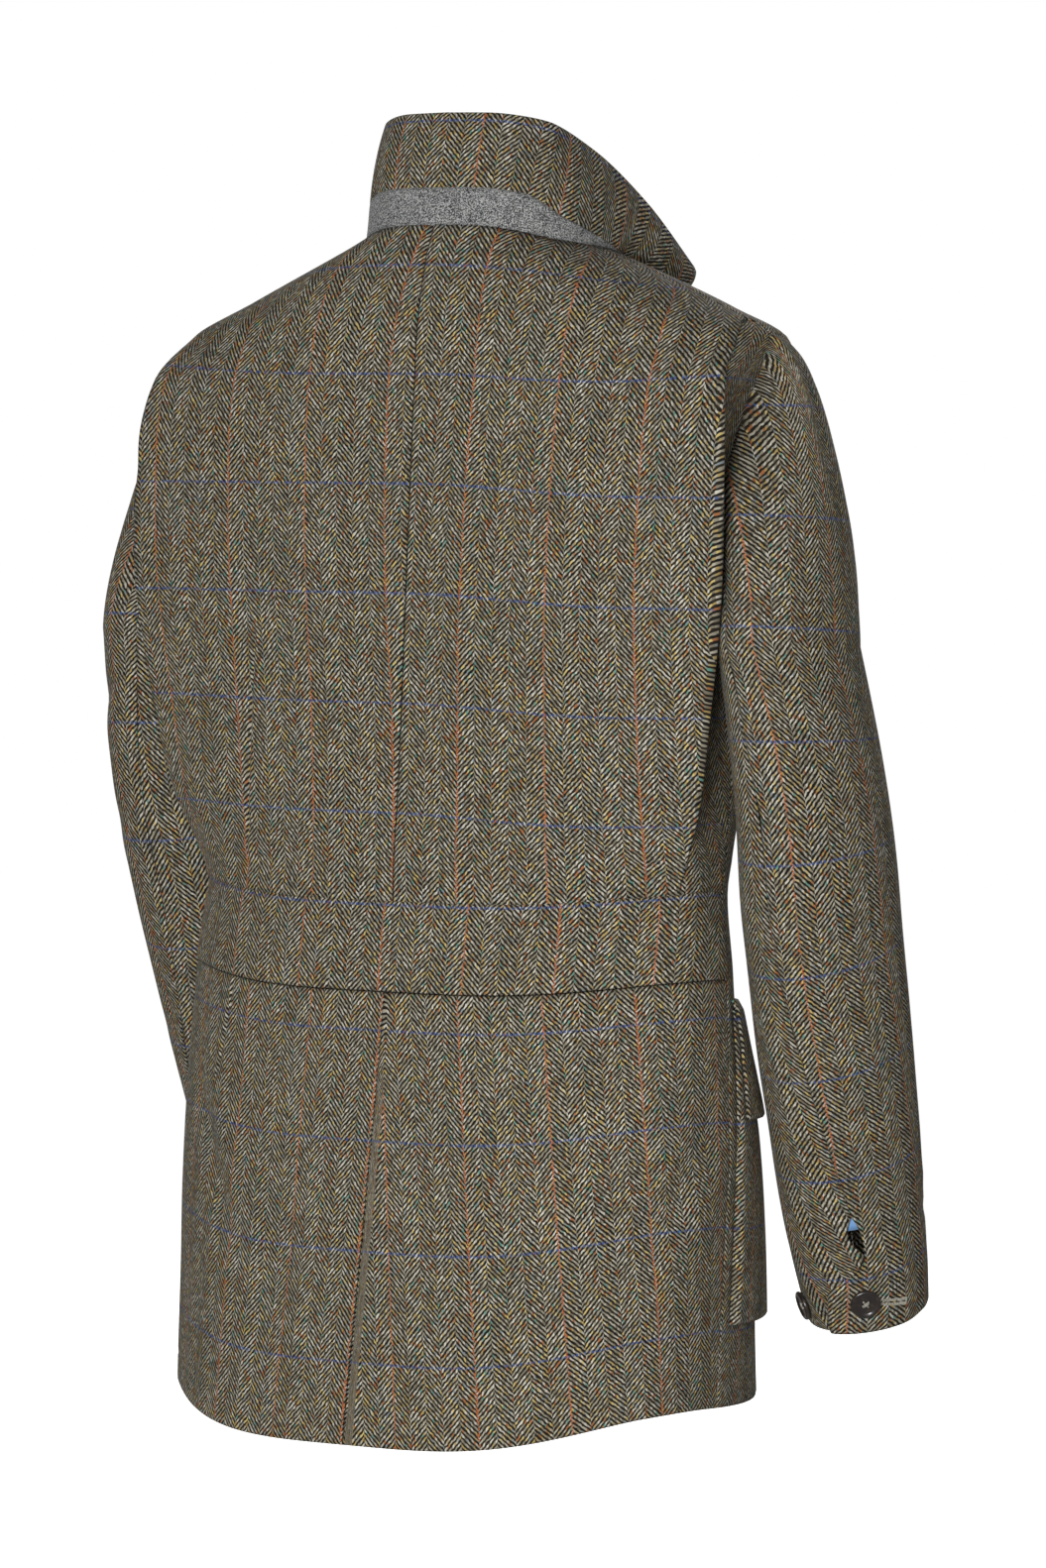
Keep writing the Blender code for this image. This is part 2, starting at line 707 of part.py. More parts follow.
def make_lapels() -> None:
    def columns(drop: float) -> List[float]:
        across = front_columns(drop)[POCKET_COLUMNS + 1:]
        share = (drop - LAPEL_TOP_DROP) / (LAPEL_LOW_DROP - LAPEL_TOP_DROP)
        keep = 1.0 - LAPEL_TAPER * min(max(share, 0.0), 1.0) ** 2
        return [across[-1] + (place - across[-1]) * keep for place in across]

    rows = [row for row in UPPER_LEVELS if LAPEL_TOP_DROP <= row <= LAPEL_LOW_DROP]
    for side, mirror in (("left", False), ("right", True)):
        panel(f"lapel_{side}", TORSO, rows, columns, lambda girth, drop: LAPEL_LIFT, mirror=mirror)


# Bellows pockets

def make_pockets() -> None:
    """Tray with leaning side walls, open at the top, and a flap that hangs over it."""
    rows = [r for r in SKIRT_LEVELS if POCKET_TOP_DROP - NEXT_TO_NOTHING <= r
            <= POCKET_LOW_DROP + NEXT_TO_NOTHING]
    tall = POCKET_LOW_DROP - POCKET_TOP_DROP
    outer, inner = [], []
    for face, grid in ((0.0, outer), (WALL, inner)):
        for i, row in enumerate(rows + [rows[-1]]):
            wall_row = i == len(rows)
            share = (row - POCKET_TOP_DROP) / tall
            depth = POCKET_MOUTH + (POCKET_DEPTH - POCKET_MOUTH) * math.sin(share * math.pi / 2.0)
            drop = row
            if row == rows[-1]:
                drop = row - face - (0.0 if wall_row else POCKET_LEAN)
            across = front_columns(row)[1:POCKET_COLUMNS + 2]
            rear = TORSO.shift(across[0], face, row)
            fore = TORSO.shift(across[-1], -face, row)
            line = ([rear, TORSO.shift(rear, POCKET_LEAN, row)] + across[1:-1]
                    + [TORSO.shift(fore, -POCKET_LEAN, row), fore])
            for j, girth in enumerate(line):
                edge = wall_row or j in (0, len(line) - 1)
                height = LAYER_GAP if edge else depth - face
                grid.append(TORSO.point(girth, drop) + TORSO.normal(girth, drop) * height)
    shape = (len(rows) + 1, -1, 3)
    outer, inner = np.reshape(outer, shape), np.reshape(inner, shape)

    def flap_columns(drop: float) -> List[float]:
        across = front_columns(drop)[1:POCKET_COLUMNS + 2]
        lean = (-POCKET_LEAN, POCKET_LEAN)
        return ([TORSO.shift(across[0], step, drop) for step in lean] + across[1:-1]
                + [TORSO.shift(across[-1], step, drop) for step in lean])

    def flap_lift(girth: float, drop: float) -> float:
        if drop < POCKET_TOP_DROP - NEXT_TO_NOTHING:
            return FLAP_SEAM
        share = (drop - POCKET_TOP_DROP) / (FLAP_LOW_DROP - POCKET_TOP_DROP)
        return FLAP_ROOT + (FLAP_KICK - FLAP_ROOT) * share ** FLAP_CURVE

    flap_rows = [r for r in SKIRT_LEVELS if FLAP_TOP_DROP - NEXT_TO_NOTHING <= r
                 <= FLAP_LOW_DROP + NEXT_TO_NOTHING]
    for side, mirror in (("left", False), ("right", True)):
        shell(f"pocket_{side}", outer, inner, TWEED, mirror)
        panel(f"pocket_flap_{side}", TORSO, flap_rows, flap_columns, flap_lift,
              wall=FLAP_WALL, mirror=mirror)


# Sleeves

class Sleeve:
    """Left sleeve as a skin; knots run round it from the underarm, places run down it."""

    def __init__(self) -> None:
        self.columns = tracks(ARM)
        self.knots = 2 * ARMHOLE_ROWS
        middle = 0.5 * (SHOULDER_DROP + UNDERARM_DROP)
        self.centre_drop = middle
        self.centre_girth = 0.5 * (armhole_edge(middle, -ARMHOLE_BACK_REACH)
                                   + armhole_edge(middle, ARMHOLE_FRONT_REACH))
        self.centre = TORSO.point(self.centre_girth, middle)

    def mouth(self, knot: float) -> np.ndarray:
        """Point of the sleeve's edge in the armhole."""
        knot %= self.knots
        reach = -ARMHOLE_BACK_REACH if knot <= ARMHOLE_ROWS else ARMHOLE_FRONT_REACH
        drop = armhole_level(min(knot, self.knots - knot))
        girth = armhole_edge(drop, reach)
        girth = self.centre_girth + (girth - self.centre_girth) * ARMHOLE_SCALE_GIRTH
        drop = self.centre_drop + (drop - self.centre_drop) * ARMHOLE_SCALE_DROP
        return TORSO.point(girth, drop)

    def turn(self, knot: float, place: float) -> float:
        """Angle of a knot on a ring: 0 outside, 90 degrees at the back."""
        hind = self.columns["hind_deg"](place)
        fore = self.columns["fore_deg"](place)
        lap, rest = divmod(knot - HIND_KNOT, self.knots)
        upper = FORE_KNOT - HIND_KNOT
        if rest <= upper:
            angle = hind + (fore - hind) * rest / upper
        else:
            angle = fore + (hind - 360.0 - fore) * (rest - upper) / (self.knots - upper)
        return math.radians(angle - 360.0 * lap)

    def ring_point(self, knot: float, place: float) -> np.ndarray:
        key = {name: track(place) for name, track in self.columns.items()}
        centre = np.array((key["x"], key["y"], key["z"]))
        along = self.along(place)
        back = unit(np.array((0.0, 1.0, 0.0)) - along * along[1])
        angle = self.turn(knot, place)
        out = np.array((1.0, 0.0, 0.0))
        return centre + out * key["half_x"] * math.cos(angle) + back * key["half_y"] * math.sin(angle)

    def along(self, place: float) -> np.ndarray:
        """Direction of the sleeve's middle line."""
        high, low = max(place - SLOPE_REACH, 1.0), min(place + SLOPE_REACH, 2.0)
        ends = [np.array([self.columns[axis](p) for axis in "xyz"]) for p in (high, low)]
        level = ease((place - 1.0) / SLOPE_SETTLE)
        slope = unit(ends[1] - ends[0])
        return unit(slope * level + np.array((0.0, 0.0, -1.0)) * (1.0 - level))

    def point(self, knot: float, place: float) -> np.ndarray:
        if place >= 1.0:
            return self.ring_point(knot, min(place, 2.0))
        start, end = self.mouth(knot), self.ring_point(knot, 1.0)
        reach = float(np.linalg.norm(end - start))
        away = start - self.centre
        away[0] = 0.0
        out = HEAD_OUT + HEAD_CROWN * max(unit(away)[2], 0.0)
        leave = (np.array((out, HEAD_BACK, -HEAD_DOWN)) + unit(away) * HEAD_AWAY) * reach
        land = np.array((0.0, 0.0, -HEAD_LAND)) * reach
        t, rest = place, 1.0 - place
        return (start * (1.0 + 2.0 * t) * rest * rest + leave * t * rest * rest
                + end * t * t * (3.0 - 2.0 * t) - land * t * t * rest)

    def normal(self, knot: float, place: float) -> np.ndarray:
        high, low = max(place - TURN_STEP, 0.0), min(place + TURN_STEP, 2.0)
        round_it = self.point(knot + KNOT_STEP, place) - self.point(knot - KNOT_STEP, place)
        down = self.point(knot, low) - self.point(knot, high)
        return unit(np.cross(round_it, down))

    def knot_length(self, knot: float, place: float) -> float:
        """Length of cloth in one knot step."""
        ends = self.point(knot + KNOT_REACH, place) - self.point(knot - KNOT_REACH, place)
        return float(np.linalg.norm(ends)) / (2.0 * KNOT_REACH)


SLEEVE = Sleeve()
SLEEVE_PLACES = (
    levels(0.0, 1.0, HEAD_ROWS)
    + levels(1.0, LINING_TOP, ARM_ROWS)[1:]
    + [0.5 * (LINING_TOP + SLIT_TOP), SLIT_TOP]
    + levels(SLIT_TOP, SLIT_LOW, SLIT_ROWS)[1:]
    + levels(SLIT_LOW, TAB_FULL, TAB_ROWS)[1:]
    + levels(TAB_FULL, 2.0, CUFF_ROWS)[1:]
)


def tab_reach(place: float) -> float:
    """How far the cuff tab reaches past the hind seam; negative where the slit gapes."""
    if place < SLIT_TOP:
        return 0.0
    if place < SLIT_LOW:
        share = (place - SLIT_TOP) / (SLIT_LOW - SLIT_TOP)
        return -SLIT_HALF * math.sin(math.pi * share)
    return TAB_REACH * math.sin(0.5 * math.pi * ease((place - SLIT_LOW) / (TAB_FULL - SLIT_LOW)))


def ramp_knot(place: float) -> float:
    """Column next to the hind seam, close to it at the armhole."""
    wide = min(TAB_RAMP / SLEEVE.knot_length(HIND_KNOT, place), RAMP_MOST)
    return HIND_KNOT + wide * (RAMP_AT_TOP + (1.0 - RAMP_AT_TOP) * ease(place))


def upper_columns(place: float) -> List[float]:
    """Free hind edge, close columns for the tab, then even knots to the fore seam."""
    step = SLEEVE.knot_length(HIND_KNOT, place)
    reach = tab_reach(place)
    half = 0.5 * SEAM_GAP / step
    edge = HIND_KNOT + half - reach / step
    ramp = ramp_knot(place)
    middle = min(HIND_KNOT - 1.0, 0.5 * (edge + HIND_KNOT)) if reach > step else 0.5 * (edge + HIND_KNOT)
    middle = max(middle, edge + TAB_LEAST * (HIND_KNOT - edge))
    tab = [edge, middle, 0.5 * (middle + HIND_KNOT), HIND_KNOT]
    lead = tab if reach > 2.0 * SEAM_GAP else spread(edge, ramp, len(tab))[:-1]
    fore = FORE_KNOT - 0.5 * SEAM_GAP / SLEEVE.knot_length(FORE_KNOT, place)
    knots = [float(k) for k in range(HIND_KNOT + 1, FORE_KNOT)]
    return lead + [ramp] + knots + [fore]


def tab_lift(knot: float, place: float) -> float:
    if place <= SLIT_LOW - NEXT_TO_NOTHING:
        return 0.0
    rise = ease((place - SLIT_LOW + TAB_RISE) / TAB_RISE)
    return TAB_LIFT * rise * ease((TAB_END_KNOT - knot) / (TAB_END_KNOT - TAB_FLAT_KNOT))


def under_columns(place: float) -> List[float]:
    """From the fore seam round under the arm to the hind seam."""
    fore = FORE_KNOT + 0.5 * SEAM_GAP / SLEEVE.knot_length(FORE_KNOT, place)
    step = SLEEVE.knot_length(HIND_KNOT, place)
    gape = max(-tab_reach(place), 0.0)
    hind = SLEEVE.knots + HIND_KNOT - (0.5 * SEAM_GAP + gape) / step
    knots = [float(k) for k in range(FORE_KNOT + 1, SLEEVE.knots + HIND_KNOT)]
    close = SLEEVE.knots + HIND_KNOT - 0.5 * (RAMP_AT_TOP + (1.0 - RAMP_AT_TOP) * ease(place))
    return [fore] + knots + [close, hind]


def make_sleeves() -> None:
    lining_rows = [p for p in SLEEVE_PLACES if LINING_TOP - NEXT_TO_NOTHING <= p <= LINING_LOW]
    lining_rows = lining_rows[:-1] + [LINING_LOW]

    def ring(place: float) -> List[float]:
        return [float(k) for k in range(SLEEVE.knots)]

    depth = -(WALL + 2.0 * LAYER_GAP)
    for side, mirror in (("left", False), ("right", True)):
        panel(f"sleeve_{side}_upper", SLEEVE, SLEEVE_PLACES, upper_columns, tab_lift, mirror=mirror)
        panel(f"sleeve_{side}_under", SLEEVE, SLEEVE_PLACES, under_columns, flat, mirror=mirror)
        panel(f"sleeve_{side}_lining", SLEEVE, lining_rows, ring, lambda knot, place: depth,
              cloth=SATIN, wall=LINING_WALL, mirror=mirror, tube=True)


# Collar

class CollarPart:
    """Stand or fall of the turned-up collar; rows run from its upper edge to its lower one."""

    top = tracks(COLLAR_TOP)

    def __init__(self, stand: bool) -> None:
        self.stand = stand

    def seam_share(self, share: float) -> float:
        """Height of the seam between stand and fall, as a share of the collar."""
        fade = (abs(share) - STAND_TAPER_START) / (STAND_TAPER_END - STAND_TAPER_START)
        return STAND_LEAST + (STAND_SHARE - STAND_LEAST) * (1.0 - ease(fade))

    def leaf(self, share: float, height: float) -> np.ndarray:
        hang = ease((abs(share) - HANG_START) / (1.0 - HANG_START))
        base = TORSO.point(share * COLLAR_END, NECK_DROP + HANG_DROP * hang)
        base[2] += HANG_RISE * ease(HANG_QUICK * hang)
        top = np.array([self.top[axis](abs(share)) for axis in "xyz"])
        top[0] *= 1.0 if share >= 0.0 else -1.0
        bow = COLLAR_BOW * 4.0 * height * (1.0 - height)
        return base + (top - base) * height + unit(base * np.array((1.0, 1.0, 0.0))) * bow

    def point(self, share: float, row: float) -> np.ndarray:
        seam = self.seam_share(share)
        low, high = (0.0, seam) if self.stand else (seam, 1.0)
        return self.leaf(share, high + (low - high) * row)

    def normal(self, share: float, row: float) -> np.ndarray:
        seam = self.seam_share(share)
        height = (seam * (1.0 - row)) if self.stand else (1.0 + (seam - 1.0) * row)
        across = self.leaf(share + TURN_STEP, height) - self.leaf(share - TURN_STEP, height)
        down = self.leaf(share, height - HEIGHT_STEP) - self.leaf(share, height + HEIGHT_STEP)
        return unit(np.cross(across, down))


def make_collar() -> None:
    fall, stand = CollarPart(False), CollarPart(True)
    panel("collar_fall", fall, levels(0.0, 1.0 - COLLAR_TRIM, COLLAR_ROWS),
          lambda row: spread(-1.0, 1.0, COLLAR_COLUMNS), flat)
    panel("collar_stand", stand, levels(STAND_TRIM, 1.0 - STAND_FOOT_TRIM, STAND_ROWS),
          lambda row: spread(-STAND_TAPER_END, STAND_TAPER_END, STAND_COLUMNS), flat,
          cloth=MELTON, wall=MELTON_WALL)


# Buttons

def button(name: str, centre: np.ndarray, out: np.ndarray, radius: float, mirror: bool = False) -> None:
    """Dished horn disc standing on its thread shank just off the cloth."""
    across = unit(np.cross(np.array((0.0, 0.0, 1.0)), out))
    up = np.cross(out, across)
    points = []
    for share, height in BUTTON_RINGS:
        for i in range(BUTTON_SIDES):
            angle = 2.0 * math.pi * i / BUTTON_SIDES
            ring = (across * math.cos(angle) + up * math.sin(angle)) * radius * share
            points.append(centre + ring + out * height * BUTTON_THICK)
    faces = []
    for level in range(len(BUTTON_RINGS) - 1):
        for i in range(BUTTON_SIDES):
            a, b = level * BUTTON_SIDES + i, level * BUTTON_SIDES + (i + 1) % BUTTON_SIDES
            faces += [(a, b, b + BUTTON_SIDES), (a, b + BUTTON_SIDES, a + BUTTON_SIDES)]
    last = (len(BUTTON_RINGS) - 1) * BUTTON_SIDES
    for ring in range(1, BUTTON_SIDES - 1):
        faces += [(0, ring + 1, ring), (last, last + ring, last + ring + 1)]
    solid(name, points, faces, HORN, mirror)


def make_buttons() -> None:
    for side, mirror in (("left", False), ("right", True)):
        for key in CUFF_BUTTONS:
            out = SLEEVE.normal(key.knot, key.place)
            foot = SLEEVE.point(key.knot, key.place) + out * key.seat
            button(f"{key.name}_{side}", foot, out, BUTTON_RADIUS, mirror)
    for i, key in enumerate(FRONT_BUTTONS):
        out = TORSO.normal(CENTRE_FRONT, key.drop)
        foot = TORSO.point(CENTRE_FRONT, key.drop) + out * key.seat
        button(f"front_button_{i + 1}", foot, out, FRONT_BUTTON_RADIUS)


def main() -> None:
    for old in list(bpy.data.objects):
        bpy.data.objects.remove(old, do_unlink=True)
    make_back()
    make_waistband()
    make_skirt()
    make_fronts()
    make_lapels()
    make_pockets()
    make_sleeves()
    make_collar()
    make_buttons()


main()
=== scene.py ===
"""Looks of the belted-back tweed jacket: cloth pieces, felt stand, satin, horn and thread.

Metres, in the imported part's frame: +Z up, +X the wearer's left, -Y the front, and the
origin in the middle of the neck opening at the centre-back neck seam.
"""

import logging
import math
from dataclasses import dataclass, field, replace
from enum import Enum
from functools import lru_cache
from typing import Callable, Dict, List, Sequence, Tuple

import bmesh
import bpy
import numpy as np
from mathutils import Matrix, Vector, noise

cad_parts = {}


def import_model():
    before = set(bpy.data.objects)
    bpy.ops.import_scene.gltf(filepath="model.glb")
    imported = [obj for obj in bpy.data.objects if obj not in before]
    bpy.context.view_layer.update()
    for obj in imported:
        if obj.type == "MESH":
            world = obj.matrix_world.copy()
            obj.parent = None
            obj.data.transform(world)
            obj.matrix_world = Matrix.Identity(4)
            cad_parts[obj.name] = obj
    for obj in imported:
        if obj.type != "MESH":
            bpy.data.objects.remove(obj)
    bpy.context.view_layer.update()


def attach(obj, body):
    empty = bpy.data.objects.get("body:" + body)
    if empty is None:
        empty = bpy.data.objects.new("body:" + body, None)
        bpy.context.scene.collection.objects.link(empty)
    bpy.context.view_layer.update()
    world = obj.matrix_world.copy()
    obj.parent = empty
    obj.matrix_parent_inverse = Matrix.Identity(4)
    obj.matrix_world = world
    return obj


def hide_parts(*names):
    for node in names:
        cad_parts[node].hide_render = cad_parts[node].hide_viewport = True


LOG = logging.getLogger("jacket")
BODY = "root"

# Cloth and seams
WALL = 0.0014
MELTON_WALL = 0.0020
LINING_WALL = 0.0008
FLAP_WALL = 0.0020
SEAM_GAP = 0.00006
LAYER_GAP = 0.0004
TINY = 1e-6
LEAST_LENGTH = 1e-15

# Lengths down the centre back, from the neck seam
NECK_DROP = 0.0
FOLD_TOP_DROP = 0.056
SHOULDER_DROP = 0.075
UNDERARM_DROP = 0.247
BAND_TOP_DROP = 0.444
BAND_LOW_DROP = 0.503
HEM_DROP = 0.798

# Girth positions: 0 centre back, 1 widest side, 2 centre front
SIDE_SEAM = 1.035
CENTRE_FRONT = 2.0
FOLD_GIRTH = 0.8
STRETCHES = ((0.0, FOLD_GIRTH), (FOLD_GIRTH, 1.0), (1.0, CENTRE_FRONT))
CURL_WAY = (-0.70, -0.71)
COLLAR_END = 1.47
QUARTER_STEPS = 90
LEVEL_POWER = 4.0

# Fineness of the cloth meshes
CLOTH_STEP = 0.0042
PLAIN_STEP = 0.0055
FINE_STEP = 0.003
EDGE_CROWD = 0.72
RING_DIGITS = 7


class Side(Enum):
    """Wearer's side that a piece is on."""

    LEFT = "left"
    RIGHT = "right"

    @property
    def sign(self) -> float:
        """1 on the wearer's left, -1 on the right."""
        return 1.0 if self is Side.LEFT else -1.0


class EdgeKind(Enum):
    """How a cut edge is finished."""

    SEAM = "turned in and sewn to its neighbour"
    FREE = "folded over and pressed round"
    FLAT = "hidden under another cloth"


class Held(Enum):
    """How a piece of cloth hangs, in the words of the frame."""

    HUNG = "hung"
    FOLDED = "folded"
    STRETCHED = "stretched"


@dataclass(frozen=True)
class Section:
    """One level of the body, half of it: heights, side, pleat fold, back and front."""

    drop: float
    z_side: float
    z_front: float
    side_x: float
    fold_x: float
    fold_y: float
    back_depth: float
    back_power: float
    curl: float
    front_depth: float
    front_power: float


SECTIONS = (
    Section(0.000, -0.009, -0.040, 0.084, 0.0735, 0.0400, 0.0710, 3.0, 0.0, 0.112, 2.4),
    Section(0.022, -0.027, -0.062, 0.131, 0.1150, 0.0410, 0.0785, 3.0, 0.0, 0.114, 2.2),
    Section(0.045, -0.047, -0.085, 0.178, 0.158, 0.0420, 0.0835, 3.0, 0.0, 0.118, 2.2),
    Section(0.075, -0.070, -0.108, 0.219, 0.204, 0.0460, 0.0870, 3.0, 0.1, 0.122, 2.2),
    Section(0.110, -0.102, -0.133, 0.212, 0.222, 0.0660, 0.0880, 3.0, 0.6, 0.126, 2.2),
    Section(0.150, -0.148, -0.168, 0.206, 0.228, 0.0725, 0.0885, 3.0, 0.9, 0.128, 2.2),
    Section(0.220, -0.219, -0.228, 0.200, 0.228, 0.0715, 0.0890, 3.0, 1.0, 0.128, 2.2),
    Section(0.330, -0.325, -0.325, 0.196, 0.215, 0.0580, 0.0900, 3.0, 1.0, 0.116, 2.1),
    Section(0.380, -0.374, -0.374, 0.195, 0.206, 0.0490, 0.0905, 3.0, 0.9, 0.108, 2.1),
    Section(0.418, -0.407, -0.407, 0.194, 0.193, 0.0390, 0.0925, 3.0, 0.4, 0.101, 2.0),
    Section(0.444, -0.430, -0.430, 0.192, 0.186, 0.0350, 0.0915, 3.2, 0.0, 0.097, 2.0),
    Section(0.503, -0.487, -0.487, 0.198, 0.186, 0.0440, 0.0950, 3.3, 0.0, 0.101, 2.0),
    Section(0.620, -0.598, -0.594, 0.203, 0.186, 0.0530, 0.1055, 3.3, 0.0, 0.143, 2.2),
    Section(0.798, -0.766, -0.752, 0.200, 0.182, 0.0580, 0.1230, 3.3, 0.0, 0.181, 2.3),
)


@dataclass(frozen=True)
class ArmRing:
    """One ring of the sleeve: centre, half sizes and its two seam angles."""

    place: float
    x: float
    y: float
    z: float
    half_x: float
    half_y: float
    hind_deg: float
    fore_deg: float


ARM = (
    ArmRing(1.00, 0.2440, 0.0050, -0.268, 0.0385, 0.0640, 108.0, -146.0),
    ArmRing(1.20, 0.2480, -0.0225, -0.365, 0.0445, 0.0620, 95.0, -140.0),
    ArmRing(1.40, 0.2435, -0.0490, -0.445, 0.0480, 0.0600, 91.0, -136.0),
    ArmRing(1.72, 0.2360, -0.0990, -0.578, 0.0470, 0.0550, 67.0, -132.0),
    ArmRing(1.92, 0.2320, -0.1350, -0.673, 0.0430, 0.0470, 49.0, -130.0),
    ArmRing(2.00, 0.2320, -0.1460, -0.704, 0.0400, 0.0425, 47.0, -130.0),
)


@dataclass(frozen=True)
class CollarKey:
    """Top edge of the turned-up collar, 0 centre back, 1 collar point."""

    share: float
    x: float
    y: float
    z: float


COLLAR_TOP = (
    CollarKey(0.00, 0.0000, 0.0620, 0.0750),
    CollarKey(0.20, 0.0320, 0.0570, 0.0748),
    CollarKey(0.45, 0.0665, 0.0300, 0.0690),
    CollarKey(0.68, 0.0700, -0.0180, 0.0545),
    CollarKey(0.86, 0.0790, -0.0680, 0.0250),
    CollarKey(1.00, 0.0905, -0.1135, -0.0160),
)


# Form of a crease: how its ends fade, and its lip in widths of the trough
CREASE_FADE = 0.7
LIP_AWAY = 1.7
LIP_WIDTH = 1.2


@dataclass(frozen=True)
class Crease:
    """Soft trough in a cloth, from one place to another, in metres of cloth.

    Attributes:
        across_0: Start, across the cloth.
        down_0: Start, down the cloth.
        across_1: End, across the cloth.
        down_1: End, down the cloth.
        width: Half width of the trough.
        depth: Depth of the trough; a negative depth is a ridge.
        lip: Height of the ridge beside it, as a share of the depth.
    """

    across_0: float
    down_0: float
    across_1: float
    down_1: float
    width: float
    depth: float
    lip: float = 0.45

    def height(self, across: np.ndarray, down: np.ndarray) -> np.ndarray:
        """Height that the crease adds at each place of a cloth.

        Args:
            across: Places across the cloth.
            down: Places down the cloth.

        Returns:
            Heights in metres, below zero in the trough.
        """
        start = np.array((self.across_0, self.down_0))
        along = np.array((self.across_1, self.down_1)) - start
        length = float(np.hypot(*along))
        along = along / length
        share = ((across - start[0]) * along[0] + (down - start[1]) * along[1]) / length
        aside = (across - start[0]) * -along[1] + (down - start[1]) * along[0]
        taper = np.sin(np.clip(share, 0.0, 1.0) * math.pi) ** CREASE_FADE
        trough = np.exp(-((aside / self.width) ** 2))
        ridge = np.exp(-(((aside - LIP_AWAY * self.width) / (LIP_WIDTH * self.width)) ** 2))
        return self.depth * taper * (self.lip * ridge - trough)


# Creases of the body, across from the centre back with the wearer's left above zero
BODY_CREASES = (
    Crease(-0.020, 0.110, -0.016, 0.400, 0.0150, 0.0022, 0.2),
    Crease(0.012, 0.150, 0.010, 0.330, 0.0090, -0.0008, 0.0),
    Crease(-0.128, 0.400, -0.208, 0.444, 0.0075, 0.0034),
    Crease(-0.150, 0.385, -0.205, 0.412, 0.0080, 0.0015),
    Crease(0.1770, 0.212, 0.1760, 0.276, 0.0055, 0.0016),
    Crease(0.1390, 0.226, 0.1265, 0.286, 0.0060, 0.0014),
    Crease(0.0400, 0.418, 0.1500, 0.428, 0.0080, 0.0016),
    Crease(0.0900, 0.392, 0.1750, 0.408, 0.0090, 0.0012),
    Crease(-0.0300, 0.424, -0.1150, 0.430, 0.0075, 0.0012),
    Crease(0.1760, 0.575, 0.1060, 0.690, 0.0120, 0.0036),
    Crease(0.0560, 0.610, 0.0780, 0.760, 0.0160, 0.0020),
    Crease(-0.2500, 0.590, -0.1850, 0.716, 0.0140, 0.0042),
    Crease(-0.1060, 0.610, -0.1250, 0.790, 0.0200, 0.0020),
    Crease(-0.0450, 0.560, -0.0600, 0.700, 0.0140, 0.0012),
    Crease(0.3050, 0.405, 0.4250, 0.418, 0.0085, 0.0022),
    Crease(0.3200, 0.440, 0.4200, 0.424, 0.0080, 0.0018),
    Crease(-0.3150, 0.398, -0.4150, 0.417, 0.0085, 0.0020),
    Crease(-0.3300, 0.446, -0.4250, 0.425, 0.0080, 0.0016),
    Crease(0.2900, 0.180, 0.3300, 0.300, 0.0120, 0.0018),
    Crease(-0.2950, 0.170, -0.3250, 0.290, 0.0120, 0.0018),
    Crease(0.4000, 0.600, 0.3850, 0.760, 0.0180, 0.0022),
    Crease(-0.4050, 0.610, -0.3900, 0.770, 0.0180, 0.0020),
)

# Creases of a sleeve, across from its top line with the back below zero, down from the armhole
SLEEVE_CREASES = (
    Crease(-0.085, 0.030, -0.060, 0.120, 0.0090, 0.0016),
    Crease(-0.120, 0.210, -0.030, 0.265, 0.0110, 0.0018),
    Crease(-0.130, 0.290, -0.050, 0.330, 0.0100, 0.0016),
    Crease(-0.115, 0.420, -0.060, 0.475, 0.0100, 0.0014),
    Crease(-0.040, 0.560, 0.010, 0.590, 0.0065, 0.0012),
    Crease(-0.050, 0.585, 0.020, 0.600, 0.0055, 0.0012),
    Crease(0.060, 0.260, 0.120, 0.300, 0.0100, 0.0020),
    Crease(0.055, 0.300, 0.125, 0.330, 0.0090, 0.0022),
    Crease(0.060, 0.345, 0.120, 0.360, 0.0095, 0.0018),
    Crease(0.020, 0.120, 0.050, 0.220, 0.0120, 0.0014),
)


@dataclass(frozen=True)
class Groove:
    """Dart in the body cloth, on both halves of the body."""

    across_0: float
    down_0: float
    across_1: float
    down_1: float
    width: float
    depth: float


DARTS = (
    Groove(0.1205, 0.262, 0.1294, 0.4435, 0.0012, 0.0021),
    Groove(0.1342, 0.5035, 0.1485, 0.580, 0.0012, 0.0021),
)
DART_SHARE = 0.6
HEM_STITCH_UP = 0.0235
HEM_STITCH_SIDE_UP = 0.0185
HEM_STITCH_WIDTH = 0.0011
HEM_STITCH_DEPTH = 0.0006
CENTRE_REACH = 0.04
SOFTNESS = 0.0009
SOFT_SIZE = 0.075
SOFT_SEED = 3.7


